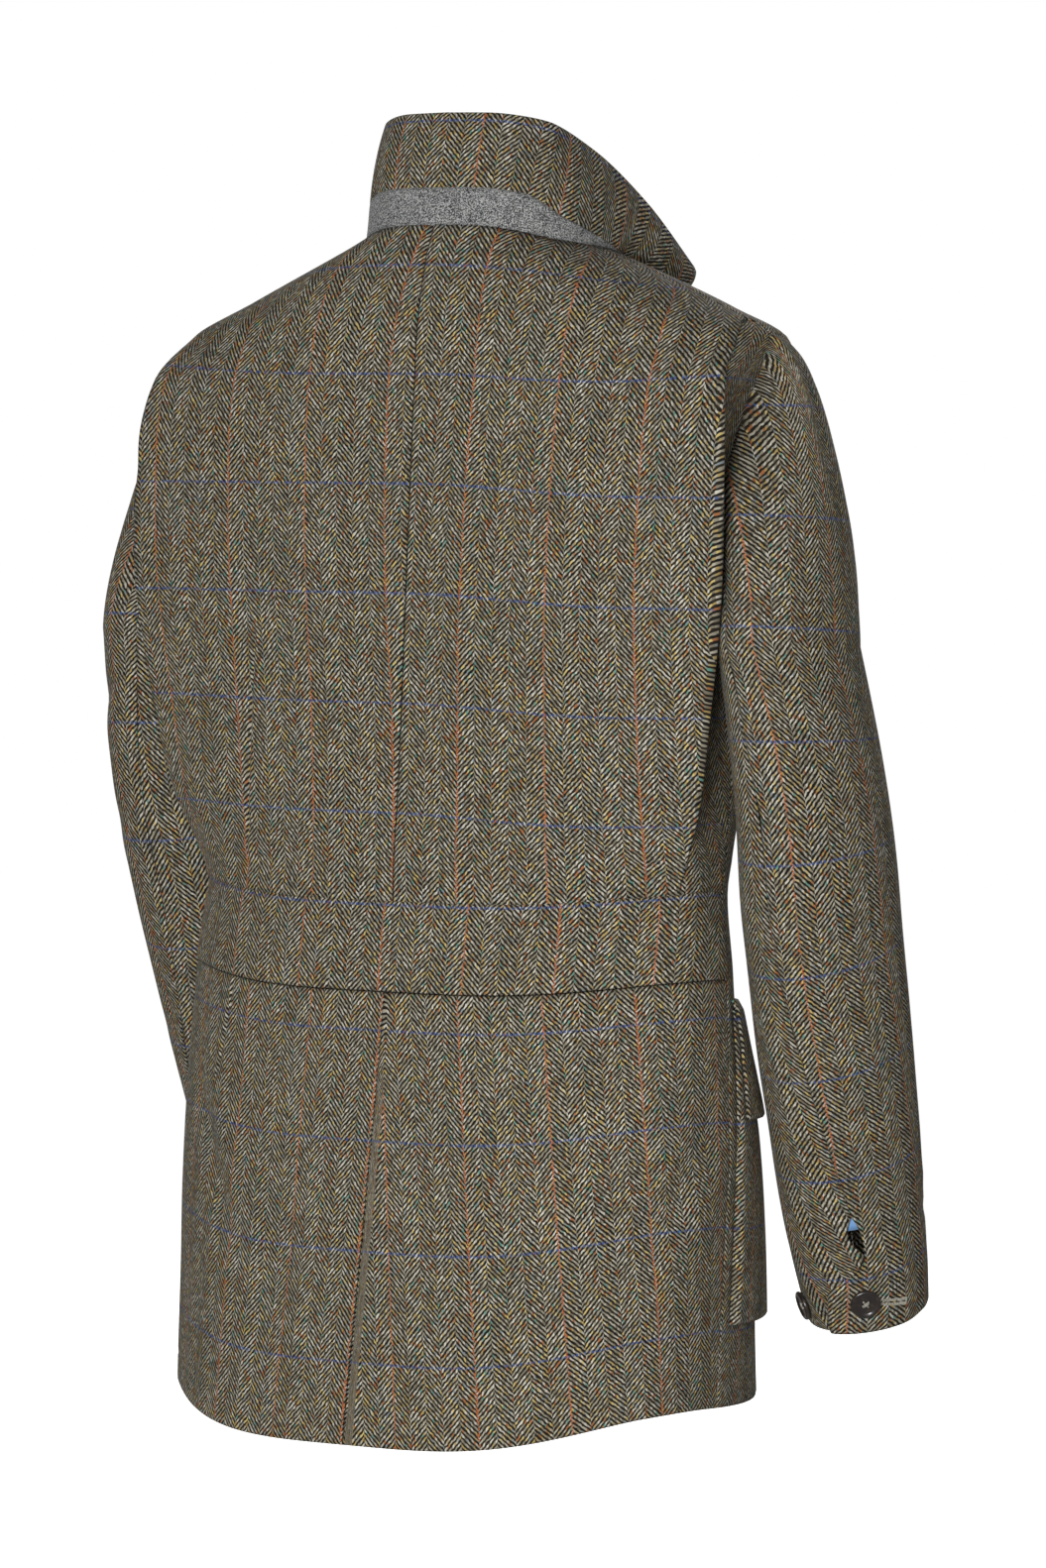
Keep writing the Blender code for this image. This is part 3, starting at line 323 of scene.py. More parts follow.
class Track:
    """Smooth curve through a few keys that never overshoots them."""

    def __init__(self, keys: Sequence[float], values: Sequence[float]) -> None:
        """Keeps the keys and works out the slope at each one.

        Args:
            keys: Places along the track, rising.
            values: Value at each key.
        """
        self.keys = np.asarray(keys, float)
        self.values = np.asarray(values, float)
        spans = np.diff(self.keys)
        rises = np.diff(self.values) / spans
        slopes = np.zeros(len(self.keys))
        slopes[0], slopes[-1] = rises[0], rises[-1]
        for i in range(1, len(self.keys) - 1):
            before, after = rises[i - 1], rises[i]
            if before * after > 0.0:
                first = 2.0 * spans[i] + spans[i - 1]
                second = spans[i] + 2.0 * spans[i - 1]
                slopes[i] = (first + second) / (first / before + second / after)
        self.slopes = slopes

    def __call__(self, place: float) -> float:
        """Value at a place, held past both ends."""
        place = min(max(place, self.keys[0]), self.keys[-1])
        i = min(max(int(np.searchsorted(self.keys, place)) - 1, 0), len(self.keys) - 2)
        span = self.keys[i + 1] - self.keys[i]
        t = (place - self.keys[i]) / span
        rest = 1.0 - t
        return float(
            self.values[i] * (1.0 + 2.0 * t) * rest * rest
            + self.slopes[i] * span * t * rest * rest
            + self.values[i + 1] * t * t * (3.0 - 2.0 * t)
            - self.slopes[i + 1] * span * t * t * rest
        )


def tracks(table: Sequence) -> Dict[str, Track]:
    """One track for each column of a table.

    Args:
        table: Rows of one dataclass, keyed by its first field.

    Returns:
        Tracks by field name.
    """
    names = list(table[0].__dataclass_fields__)
    keys = [getattr(row, names[0]) for row in table]
    return {name: Track(keys, [getattr(row, name) for row in table]) for name in names[1:]}


def ease(value: float) -> float:
    """0 to 1 with no corners, held outside that range."""
    value = min(max(value, 0.0), 1.0)
    return value * value * (3.0 - 2.0 * value)


def unit(vector: np.ndarray) -> np.ndarray:
    """Vector of length 1 in the same direction."""
    return vector / max(float(np.linalg.norm(vector)), LEAST_LENGTH)


def spread(start: float, end: float, count: int) -> List[float]:
    """Even steps from start to end."""
    return [start + (end - start) * i / count for i in range(count + 1)]


def crowded(start: float, end: float, count: int, crowd: float = EDGE_CROWD) -> List[float]:
    """Steps from start to end that close up towards both ends.

    Args:
        start: First value.
        end: Last value.
        count: Number of steps.
        crowd: 0 for even steps, near 1 for very short end steps.

    Returns:
        count + 1 values.
    """
    turn = 2.0 * math.pi
    shares = [i / count for i in range(count + 1)]
    return [start + (end - start) * (s - crowd * math.sin(turn * s) / turn) for s in shares]


class Skin:
    """Smooth surface that cloth pieces lie on; columns run across it and rows run down it."""

    def point(self, column: float, row: float) -> np.ndarray:
        """Point of the surface."""
        raise NotImplementedError

    def measure(self, column: float, row: float) -> Tuple[float, float]:
        """Metres of cloth across and down to a place."""
        raise NotImplementedError


class Torso(Skin):
    """Body of the jacket; girth runs round it and drop runs down it."""

    def __init__(self) -> None:
        """Makes the tracks through the level table."""
        self.columns = tracks(SECTIONS)

    @lru_cache(maxsize=None)
    def ring(self, drop: float) -> tuple:
        """Measured stretches of one level: back, side behind the fold, front.

        Args:
            drop: Length down the centre back.

        Returns:
            Side height, front height, and (length, x, y) for each stretch.
        """
        size = {name: track(drop) for name, track in self.columns.items()}
        share = np.linspace(0.0, 1.0, QUARTER_STEPS + 1)
        fall = size["back_depth"] - size["fold_y"]
        back = (size["fold_x"] * share, size["back_depth"] - fall * share ** size["back_power"])
        start = np.array((size["fold_x"], size["fold_y"]))
        end = np.array((size["side_x"], 0.0))
        reach = float(np.linalg.norm(end - start))
        smooth = unit(np.array((1.0, -size["back_power"] * fall / size["fold_x"])))
        leave = unit(smooth * (1.0 - size["curl"]) + unit(np.array(CURL_WAY)) * size["curl"]) * reach
        land = np.array((0.0, -1.0)) * reach
        rest = 1.0 - share
        side = [
            start[i] * (1.0 + 2.0 * share) * rest ** 2 + leave[i] * share * rest ** 2
            + end[i] * share ** 2 * (3.0 - 2.0 * share) - land[i] * share ** 2 * rest
            for i in (0, 1)
        ]
        turn = share * math.pi / 2.0
        power = 2.0 / size["front_power"]
        front = (size["side_x"] * np.clip(np.cos(turn), 0.0, 1.0) ** power,
                 -size["front_depth"] * np.sin(turn) ** power)
        made = []
        for x, y in (back, side, front):
            length = np.concatenate(([0.0], np.cumsum(np.hypot(np.diff(x), np.diff(y)))))
            made.append((length, x, y))
        return size["z_side"], size["z_front"], made

    def run(self, girth: float, drop: float) -> float:
        """Length of cloth from the centre back to a girth position."""
        made = self.ring(round(drop, RING_DIGITS))[2]
        place = abs(girth)
        total = sum(part[0][-1] for part in made)
        if place > CENTRE_FRONT:
            return math.copysign(2.0 * total - self.run(2.0 * CENTRE_FRONT - place, drop), girth)
        length = 0.0
        for (low, high), part in zip(STRETCHES, made):
            length += part[0][-1] * min(max((place - low) / (high - low), 0.0), 1.0)
        return math.copysign(length, girth)

    def girth_at(self, length: float, drop: float) -> float:
        """Girth position at a length of cloth from the centre back."""
        made = self.ring(round(drop, RING_DIGITS))[2]
        total = sum(part[0][-1] for part in made)
        place, left = 0.0, abs(length)
        if left > total:
            return math.copysign(2.0 * CENTRE_FRONT - self.girth_at(2.0 * total - left, drop), length)
        for (low, high), part in zip(STRETCHES, made):
            step = min(left, part[0][-1])
            place = low + (high - low) * step / part[0][-1]
            left -= step
            if left <= 0.0:
                break
        return math.copysign(place, length)

    def shift(self, girth: float, metres: float, drop: float) -> float:
        """Girth position moved along the cloth by a length."""
        return self.girth_at(self.run(girth, drop) + metres, drop)

    def point(self, column: float, row: float) -> np.ndarray:
        """Point of the body at a girth position and a drop."""
        z_side, z_front, made = self.ring(round(row, RING_DIGITS))
        side = 1.0 if column >= 0.0 else -1.0
        place = abs(column)
        if place > CENTRE_FRONT:
            place, side = 2.0 * CENTRE_FRONT - place, -side
        for (low, high), (length, x, y) in zip(STRETCHES, made):
            if place <= high:
                along = (place - low) / (high - low) * length[-1]
                break
        if place <= 1.0:
            z = -row + (z_side + row) * math.sin(place * math.pi / 2.0) ** LEVEL_POWER
        else:
            z = z_side + (z_front - z_side) * math.sin((place - 1.0) * math.pi / 2.0) ** 2
        return np.array((side * np.interp(along, length, x), np.interp(along, length, y), z))

    def measure(self, column: float, row: float) -> Tuple[float, float]:
        """Metres from the centre back, and metres down it."""
        return self.run(column, row), row


TORSO = Torso()


@dataclass(frozen=True)
class Armhole:
    """Armhole of the body, an oval between the shoulder end and the underarm."""

    axis_top: float = 1.0
    back_reach: float = 0.046
    front_reach: float = 0.066
    back_skew: float = 2.2
    scale_girth: float = 0.998
    scale_drop: float = 0.9995
    half_knots: int = 9

    def level(self, knot: float) -> float:
        """Drop of an armhole point, knot 0 at the bottom."""
        middle = 0.5 * (SHOULDER_DROP + UNDERARM_DROP)
        half = 0.5 * (UNDERARM_DROP - SHOULDER_DROP)
        return middle + half * math.cos(math.pi * knot / self.half_knots)

    def edge(self, drop: float, reach: float) -> float:
        """Girth of the armhole's edge at a drop; a reach below zero is the back branch."""
        share = min(max((drop - SHOULDER_DROP) / (UNDERARM_DROP - SHOULDER_DROP), 0.0), 1.0)
        shifted = share ** (1.0 + self.back_skew * (1.0 - share)) if reach < 0.0 else share
        width = 2.0 * math.sqrt(shifted * (1.0 - shifted))
        axis = self.axis_top + (SIDE_SEAM - self.axis_top) * share
        return TORSO.shift(axis, reach * width, drop)

    def back_edge(self, drop: float) -> float:
        """Where the back pieces end: shoulder seam, armhole, then side seam."""
        if drop <= SHOULDER_DROP:
            return self.axis_top
        return self.edge(drop, -self.back_reach) if drop < UNDERARM_DROP else SIDE_SEAM

    def front_edge(self, drop: float) -> float:
        """Where a front starts: shoulder seam, armhole, then side seam."""
        if drop <= SHOULDER_DROP:
            return self.axis_top
        return self.edge(drop, self.front_reach) if drop < UNDERARM_DROP else SIDE_SEAM


ARMHOLE = Armhole()


class SleeveSkin(Skin):
    """Left sleeve; knots run round it from the underarm by the back, places run down it."""

    hind_knot = 3
    fore_knot = 16
    top_knot = 9.0
    head_out = 0.47
    head_crown = 0.17
    head_away = 0.30
    head_back = 0.24
    head_down = 0.45
    head_land = 0.85
    slope_reach = 0.05
    slope_settle = 0.4
    knot_reach = 0.05
    length_steps = 60
    knots_measured = (-2.0, 24.0)
    knot_parts = 8

    def __init__(self) -> None:
        """Works out the armhole's middle and the length down the top line."""
        self.columns = tracks(ARM)
        self.knots = 2 * ARMHOLE.half_knots
        self.centre_drop = 0.5 * (SHOULDER_DROP + UNDERARM_DROP)
        self.centre_girth = 0.5 * (ARMHOLE.edge(self.centre_drop, -ARMHOLE.back_reach)
                                   + ARMHOLE.edge(self.centre_drop, ARMHOLE.front_reach))
        self.centre = TORSO.point(self.centre_girth, self.centre_drop)
        self.places = np.linspace(1.0, 2.0, self.length_steps + 1)
        line = np.array([self.ring(place)[0] for place in self.places])
        steps = np.linalg.norm(np.diff(line, axis=0), axis=1)
        self.lengths = np.concatenate(([0.0], np.cumsum(steps)))
        low, high = self.knots_measured
        self.knot_grid = np.linspace(low, high, int((high - low) * self.knot_parts) + 1)
        self.arcs = np.array([self.arc_lengths(place) for place in self.places])
        self.head_height = float(self.point(self.top_knot, 1.0)[2] - self.point(self.top_knot, 0.0)[2])

    def arc_lengths(self, place: float) -> np.ndarray:
        """Lengths of cloth round a ring from its top line, one for each measured knot."""
        line = np.array([self.ring_point(knot, place) for knot in self.knot_grid])
        steps = np.linalg.norm(np.diff(line, axis=0), axis=1)
        run = np.concatenate(([0.0], np.cumsum(steps)))
        return run - np.interp(self.top_knot, self.knot_grid, run)

    def mouth(self, knot: float) -> np.ndarray:
        """Point of the sleeve's edge in the armhole."""
        knot %= self.knots
        reach = -ARMHOLE.back_reach if knot <= ARMHOLE.half_knots else ARMHOLE.front_reach
        drop = ARMHOLE.level(min(knot, self.knots - knot))
        girth = ARMHOLE.edge(drop, reach)
        girth = self.centre_girth + (girth - self.centre_girth) * ARMHOLE.scale_girth
        drop = self.centre_drop + (drop - self.centre_drop) * ARMHOLE.scale_drop
        return TORSO.point(girth, drop)

    def turn(self, knot: float, place: float) -> float:
        """Angle of a knot on a ring: 0 outside, 90 degrees at the back."""
        hind = self.columns["hind_deg"](place)
        fore = self.columns["fore_deg"](place)
        lap, rest = divmod(knot - self.hind_knot, self.knots)
        upper = self.fore_knot - self.hind_knot
        if rest <= upper:
            angle = hind + (fore - hind) * rest / upper
        else:
            angle = fore + (hind - 360.0 - fore) * (rest - upper) / (self.knots - upper)
        return math.radians(angle - 360.0 * lap)

    @lru_cache(maxsize=None)
    def ring(self, place: float) -> tuple:
        """Centre, outward half axis and backward half axis of a ring."""
        key = {name: track(place) for name, track in self.columns.items()}
        high, low = max(place - self.slope_reach, 1.0), min(place + self.slope_reach, 2.0)
        ends = [np.array([self.columns[axis](p) for axis in "xyz"]) for p in (high, low)]
        level = ease((place - 1.0) / self.slope_settle)
        slope = unit(ends[1] - ends[0])
        along = unit(slope * level + np.array((0.0, 0.0, -1.0)) * (1.0 - level))
        back = unit(np.array((0.0, 1.0, 0.0)) - along * along[1])
        centre = np.array((key["x"], key["y"], key["z"]))
        return centre, np.array((key["half_x"], 0.0, 0.0)), back * key["half_y"]

    def ring_point(self, knot: float, place: float) -> np.ndarray:
        """Point of a ring below the head."""
        centre, out, back = self.ring(place)
        angle = self.turn(knot, place)
        return centre + out * math.cos(angle) + back * math.sin(angle)

    @lru_cache(maxsize=None)
    def head(self, knot: float) -> tuple:
        """Start, end and both directions of the head's curve at a knot."""
        start, end = self.mouth(knot), self.ring_point(knot, 1.0)
        reach = float(np.linalg.norm(end - start))
        away = start - self.centre
        away[0] = 0.0
        out = self.head_out + self.head_crown * max(unit(away)[2], 0.0)
        way = np.array((out, self.head_back, -self.head_down))
        leave = (way + unit(away) * self.head_away) * reach
        return start, end, leave, np.array((0.0, 0.0, -self.head_land)) * reach

    def point(self, column: float, row: float) -> np.ndarray:
        """Point of the sleeve at a knot and a place."""
        if row >= 1.0:
            return self.ring_point(column, min(row, 2.0))
        start, end, leave, land = self.head(column)
        t, rest = row, 1.0 - row
        return (start * (1.0 + 2.0 * t) * rest * rest + leave * t * rest * rest
                + end * t * t * (3.0 - 2.0 * t) - land * t * t * rest)

    @lru_cache(maxsize=None)
    def knot_length(self, knot: float, place: float) -> float:
        """Length of cloth in one knot step."""
        ends = self.point(knot + self.knot_reach, place) - self.point(knot - self.knot_reach, place)
        return float(np.linalg.norm(ends)) / (2.0 * self.knot_reach)

    def measure(self, column: float, row: float) -> Tuple[float, float]:
        """Metres from the top line, the back below zero, and metres down from the sleeve's top.

        The weave runs level round the arm, so in the head the way down is plain height.
        """
        spot = min(max((row - 1.0) * self.length_steps, 0.0), self.length_steps - TINY)
        low = int(spot)
        arc = self.arcs[low] + (self.arcs[low + 1] - self.arcs[low]) * (spot - low)
        across = float(np.interp(column, self.knot_grid, arc))
        if row >= 1.0:
            return across, float(np.interp(row, self.places, self.lengths)) - self.head_height
        drop = self.ring(1.0)[0][2] - self.point(column, row)[2]
        return across, drop - self.head_height


SLEEVE = SleeveSkin()


class CollarSkin(Skin):
    """Stand or fall of the turned-up collar; rows run from its upper edge to its lower one."""

    stand_share = 0.33
    taper_start = 0.36
    taper_end = 0.86
    stand_least = 0.003
    bow = 0.004
    hang_start = 0.86
    hang_drop = 0.020
    hang_rise = 0.0014
    hang_quick = 8.0
    length_steps = 60
    measured_row = 0.5

    def __init__(self, stand: bool) -> None:
        """Keeps which of the two pieces this is.

        Args:
            stand: True for the felt stand, False for the tweed fall.
        """
        self.stand = stand
        self.top = tracks(COLLAR_TOP)
        self.shares = np.linspace(-1.0, 1.0, 2 * self.length_steps + 1)
        line = np.array([self.point(share, self.measured_row) for share in self.shares])
        steps = np.linalg.norm(np.diff(line, axis=0), axis=1)
        run = np.concatenate(([0.0], np.cumsum(steps)))
        self.runs = run - np.interp(0.0, self.shares, run)

    def seam_share(self, share: float) -> float:
        """Height of the seam between stand and fall, as a share of the collar."""
        fade = (abs(share) - self.taper_start) / (self.taper_end - self.taper_start)
        return self.stand_least + (self.stand_share - self.stand_least) * (1.0 - ease(fade))

    def point(self, column: float, row: float) -> np.ndarray:
        """Point of the piece at a share of the collar's half length and a row."""
        seam = self.seam_share(column)
        low, high = (0.0, seam) if self.stand else (seam, 1.0)
        height = high + (low - high) * row
        hang = ease((abs(column) - self.hang_start) / (1.0 - self.hang_start))
        base = TORSO.point(column * COLLAR_END, NECK_DROP + self.hang_drop * hang)
        base[2] += self.hang_rise * ease(self.hang_quick * hang)
        top = np.array([self.top[axis](abs(column)) for axis in "xyz"])
        top[0] *= 1.0 if column >= 0.0 else -1.0
        bow = self.bow * 4.0 * height * (1.0 - height)
        return base + (top - base) * height + unit(base * np.array((1.0, 1.0, 0.0))) * bow

    def measure(self, column: float, row: float) -> Tuple[float, float]:
        """Metres from the centre back, and metres down from the top edge."""
        down = float(np.linalg.norm(self.point(column, row) - self.point(column, 0.0)))
        return float(np.interp(column, self.shares, self.runs)), down


@dataclass(frozen=True)
class Check:
    """Repeats of the line check and of the herringbone under it."""

    warp_pitch: float = 0.0645
    weft_pitch: float = 0.0719
    columns_in_pitch: int = 5
    twill_pitch: float = 0.0036

    @property
    def column(self) -> float:
        """Width of one herringbone column."""
        return self.warp_pitch / self.columns_in_pitch


CHECK = Check()


@dataclass(frozen=True)
class Grain:
    """Where the check lies on a piece: metres of cloth to metres of pattern.

    Attributes:
        line_at: Distance from the centre back to a rust line, at drops along the piece.
        weft_at: Drop of a blue line.
        scale: Pattern metres to one metre of the piece.
        lean: How far the rust lines swing out for each metre down.
        lean_from: Drop where the lean starts.
        sag: How far the blue lines hang lower at sag_reach from the centre.
        sag_reach: Distance from the centre where the sag is full.
    """

    line_at: Track = field(default_factory=lambda: Track((0.0, 1.0), (0.0, 0.0)))
    weft_at: float = 0.0987
    scale: float = 1.0
    lean: float = 0.0
    lean_from: float = 0.0
    sag: float = 0.0
    sag_reach: float = 0.17

    def place(self, across: float, down: float) -> Tuple[float, float]:
        """Pattern coordinates of a place on the cloth.

        Args:
            across: Metres across, the wearer's left above zero.
            down: Metres down.

        Returns:
            Metres across and down the pattern, both 0 on a line.
        """
        line = self.line_at(down) + math.copysign(self.lean * (down - self.lean_from), across)
        low = self.sag * ease(abs(across) / self.sag_reach)
        return (across - line) * self.scale, down - self.weft_at - low


def steady(place: float) -> Track:
    """Track that stays at one value."""
    return Track((0.0, 1.0), (place, place))


class Brush:
    """Short hand for building a shader: each method adds a node and gives its output."""

    def __init__(self, name: str) -> None:
        """Starts a material with a plain Principled shader.

        Args:
            name: Name of the material.
        """
        self.material = bpy.data.materials.new(name)
        self.material.use_nodes = True
        self.tree = self.material.node_tree
        self.shader = self.tree.nodes["Principled BSDF"]

    def link(self, value, socket) -> None:
        """Sets a socket from a number, a colour or another node's output."""
        if isinstance(value, bpy.types.NodeSocket):
            self.tree.links.new(value, socket)
        else:
            socket.default_value = value

    def math(self, operation: str, a, b=0.0, c=0.0):
        """Math node; gives its value output."""
        node = self.tree.nodes.new("ShaderNodeMath")
        node.operation = operation
        for value, socket in zip((a, b, c), node.inputs):
            self.link(value, socket)
        return node.outputs["Value"]

    def ramp(self, value, low: float, high: float):
        """0 below low, 1 above high, smooth between."""
        node = self.tree.nodes.new("ShaderNodeMapRange")
        node.interpolation_type = "SMOOTHSTEP"
        self.link(value, node.inputs["Value"])
        node.inputs["From Min"].default_value = low
        node.inputs["From Max"].default_value = high
        return node.outputs["Result"]

    def mix(self, share, a, b, blend: str = "MIX"):
        """Colour mix of a and b."""
        node = self.tree.nodes.new("ShaderNodeMix")
        node.data_type = "RGBA"
        node.blend_type = blend
        self.link(share, node.inputs["Factor"])
        colours = [s for s in node.inputs if s.type == "RGBA"]
        self.link(a, colours[0])
        self.link(b, colours[1])
        return next(s for s in node.outputs if s.type == "RGBA")

    def coordinates(self, kind: str):
        """Texture coordinates, UV or Object."""
        return self.tree.nodes.new("ShaderNodeTexCoord").outputs[kind]

    def split(self, vector) -> tuple:
        """X, Y and Z of a vector."""
        node = self.tree.nodes.new("ShaderNodeSeparateXYZ")
        self.link(vector, node.inputs[0])
        return tuple(node.outputs)

    def join(self, x, y, z=0.0):
        """Vector from three values."""
        node = self.tree.nodes.new("ShaderNodeCombineXYZ")
        for value, socket in zip((x, y, z), node.inputs):
            self.link(value, socket)
        return node.outputs[0]

    def noise(self, vector, scale: float, detail: float = 2.0, rough: float = 0.5):
        """Noise texture; gives its value output."""
        node = self.tree.nodes.new("ShaderNodeTexNoise")
        self.link(vector, node.inputs["Vector"])
        node.inputs["Scale"].default_value = scale
        node.inputs["Detail"].default_value = detail
        node.inputs["Roughness"].default_value = rough
        return node.outputs["Fac"]

    def chance(self, vector):
        """Random value that is one number in each whole-numbered cell."""
        node = self.tree.nodes.new("ShaderNodeTexWhiteNoise")
        node.noise_dimensions = "3D"
        self.link(vector, node.inputs["Vector"])
        return node.outputs["Value"]

    def palette(self, value, stops: Sequence[Tuple[float, Tuple[float, float, float]]]):
        """Constant colour steps along a value."""
        node = self.tree.nodes.new("ShaderNodeValToRGB")
        node.color_ramp.interpolation = "CONSTANT"
        elements = node.color_ramp.elements
        while len(elements) < len(stops):
            elements.new(1.0)
        for element, (place, colour) in zip(elements, stops):
            element.position = place
            element.color = (*colour, 1.0)
        self.link(value, node.inputs["Fac"])
        return node.outputs["Color"]

    def bump(self, height, distance: float, strength: float) -> None:
        """Bump from a height, into the shader's normal."""
        node = self.tree.nodes.new("ShaderNodeBump")
        self.link(height, node.inputs["Height"])
        node.inputs["Distance"].default_value = distance
        node.inputs["Strength"].default_value = strength
        self.link(node.outputs["Normal"], self.shader.inputs["Normal"])

    def finish(self, colour, settings: Dict[str, float]) -> bpy.types.Material:
        """Sets the colour and the shader's own sockets.

        Args:
            colour: Colour or a node's output.
            settings: Values by socket name.

        Returns:
            The finished material.
        """
        self.link(colour, self.shader.inputs["Base Color"])
        for name, value in settings.items():
            self.shader.inputs[name].default_value = value
        return self.material


Colour = Tuple[float, float, float]
Pair = Tuple[float, float]


@dataclass(frozen=True)
class TweedFinish:
    """Herringbone wool: dark warp, mixed light weft, rust and blue lines, all in pattern metres.

    A pair is the two ends of a ramp, a factor with what is added to it, or a bump's height and strength.
    """

    dark: Colour = (0.014, 0.013, 0.012)
    dark_warm: Colour = (0.038, 0.029, 0.019)
    rust: Colour = (0.50, 0.150, 0.060)
    blue: Colour = (0.060, 0.105, 0.290)
    flecks: Tuple[Tuple[float, Colour], ...] = (
        (0.00, (0.300, 0.275, 0.205)),
        (0.28, (0.440, 0.410, 0.330)),
        (0.50, (0.205, 0.182, 0.132)),
        (0.64, (0.600, 0.570, 0.490)),
        (0.74, (0.400, 0.295, 0.115)),
        (0.84, (0.600, 0.475, 0.185)),
        (0.89, (0.370, 0.150, 0.062)),
        (0.94, (0.240, 0.275, 0.280)),
        (0.98, (0.130, 0.300, 0.240)),
    )
    float_length: float = 0.0013
    slope: float = 1.0
    line_half: float = 0.00078
    blue_half: float = 0.00090
    blue_share: float = 0.92
    wobble_scale: float = 320.0
    wobble: Pair = (0.60, -0.30)
    odd_shift: float = 0.5
    second_draw: float = 7.0
    fibre_scale: float = 520.0
    fibre: Pair = (1.7, -0.90)
    float_ramp: Pair = (-0.22, 0.34)
    tone_scale: float = 28.0
    tone: Pair = (0.50, 0.68)
    odd_tone: float = 0.14
    line_ramp: Pair = (0.6, 1.3)
    dash_ramp: Pair = (0.12, 0.32)
    keep_ramp: Pair = (0.12, 0.40)
    relief: Pair = (0.8, 0.5)
    bump: Pair = (0.0005, 0.40)

    def material(self) -> bpy.types.Material:
        """Builds the shader on the UV map, which is in metres."""
        brush = Brush("tweed")
        uv = brush.coordinates("UV")
        across, down, _ = brush.split(uv)
        wobble = brush.math("MULTIPLY_ADD", brush.noise(uv, self.wobble_scale, 1.0), *self.wobble)
        zigzag = brush.math("PINGPONG", across, CHECK.column)
        column = brush.math("FLOOR", brush.math("DIVIDE", across, CHECK.column))
        odd = brush.math("FLOORED_MODULO", column, 2.0)
        twill = brush.math("MULTIPLY_ADD", zigzag, self.slope, down)
        phase = brush.math("DIVIDE", twill, CHECK.twill_pitch)
        phase = brush.math("ADD", brush.math("MULTIPLY_ADD", odd, self.odd_shift, phase), wobble)
        ridge = brush.math("SINE", brush.math("MULTIPLY", phase, 2.0 * math.pi))
        step = brush.math("FLOOR", phase)
        cell = brush.math("FLOOR", brush.math("DIVIDE", across, self.float_length))
        pick = brush.chance(brush.join(cell, step, 0.0))
        second = brush.chance(brush.join(cell, step, self.second_draw))
        light = brush.palette(pick, self.flecks)
        dark = brush.mix(second, (*self.dark, 1.0), (*self.dark_warm, 1.0))
        fibre = brush.noise(uv, self.fibre_scale, 2.0, 0.5)
        shown = brush.math("ADD", ridge, brush.math("MULTIPLY_ADD", fibre, *self.fibre))
        cloth = brush.mix(brush.ramp(shown, *self.float_ramp), dark, light)
        tone = brush.math("MULTIPLY_ADD", brush.noise(uv, self.tone_scale, 3.0), *self.tone)
        tone = brush.math("MULTIPLY_ADD", odd, self.odd_tone, tone)
        cloth = brush.mix(1.0, cloth, brush.join(tone, tone, tone), "MULTIPLY")
        rust = self.line(brush, across, CHECK.warp_pitch, self.line_half, phase, pick)
        cloth = brush.mix(rust, cloth, (*self.rust, 1.0))
        picks = brush.math("DIVIDE", across, 2.0 * self.float_length)
        blue = self.line(brush, down, CHECK.weft_pitch, self.blue_half, picks, second)
        cloth = brush.mix(brush.math("MULTIPLY", blue, self.blue_share), cloth, (*self.blue, 1.0))
        of_fibre, of_ridge = self.relief
        height = brush.math("MULTIPLY_ADD", fibre, of_fibre, brush.math("MULTIPLY", ridge, of_ridge))
        brush.bump(height, *self.bump)
        return brush.finish(cloth, {
            "Roughness": 0.95, "Sheen Weight": 0.04, "Sheen Roughness": 0.45, "Specular IOR Level": 0.10,
        })

    def line(self, brush: Brush, along, pitch: float, half: float, beat, luck):
        """Mask of one set of check lines, broken up where their yarn goes under.

        Args:
            brush: Shader in the making.
            along: Pattern coordinate across the lines.
            pitch: Distance between lines.
            half: Half width of a line.
            beat: Counts the floats along the line.
            luck: Random value of each float.

        Returns:
            Mask output, 1 on the line.
        """
        away = brush.math("PINGPONG", along, 0.5 * pitch)
        inner, outer = self.line_ramp
        on = brush.math("SUBTRACT", 1.0, brush.ramp(away, inner * half, outer * half))
        dash = brush.ramp(brush.math("PINGPONG", beat, 0.5), *self.dash_ramp)
        keep = brush.ramp(luck, *self.keep_ramp)
        return brush.math("MULTIPLY", on, brush.math("MULTIPLY", dash, keep))


@dataclass(frozen=True)
class MeltonFinish:
    """Grey felted wool of the collar stand, salt and pepper."""

    dark: Colour = (0.034, 0.035, 0.036)
    light: Colour = (0.560, 0.565, 0.555)
    grain: float = 1100.0
    cloud_scale: float = 140.0
    cloud_share: float = 0.10
    ramp: Pair = (0.47, 0.68)
    bump: Pair = (0.0004, 0.5)

    def material(self) -> bpy.types.Material:
        """Builds the shader on Object coordinates."""
        brush = Brush("melton")
        place = brush.coordinates("Object")
        speck = brush.noise(place, self.grain, 3.0, 0.75)
        cloud = brush.noise(place, self.cloud_scale, 2.0)
        mixed = brush.math("MULTIPLY_ADD", cloud, self.cloud_share, speck)
        colour = brush.mix(brush.ramp(mixed, *self.ramp), (*self.dark, 1.0), (*self.light, 1.0))
        brush.bump(speck, *self.bump)
        return brush.finish(colour, {
            "Roughness": 0.95, "Sheen Weight": 0.15, "Sheen Roughness": 0.5, "Specular IOR Level": 0.15,
        })


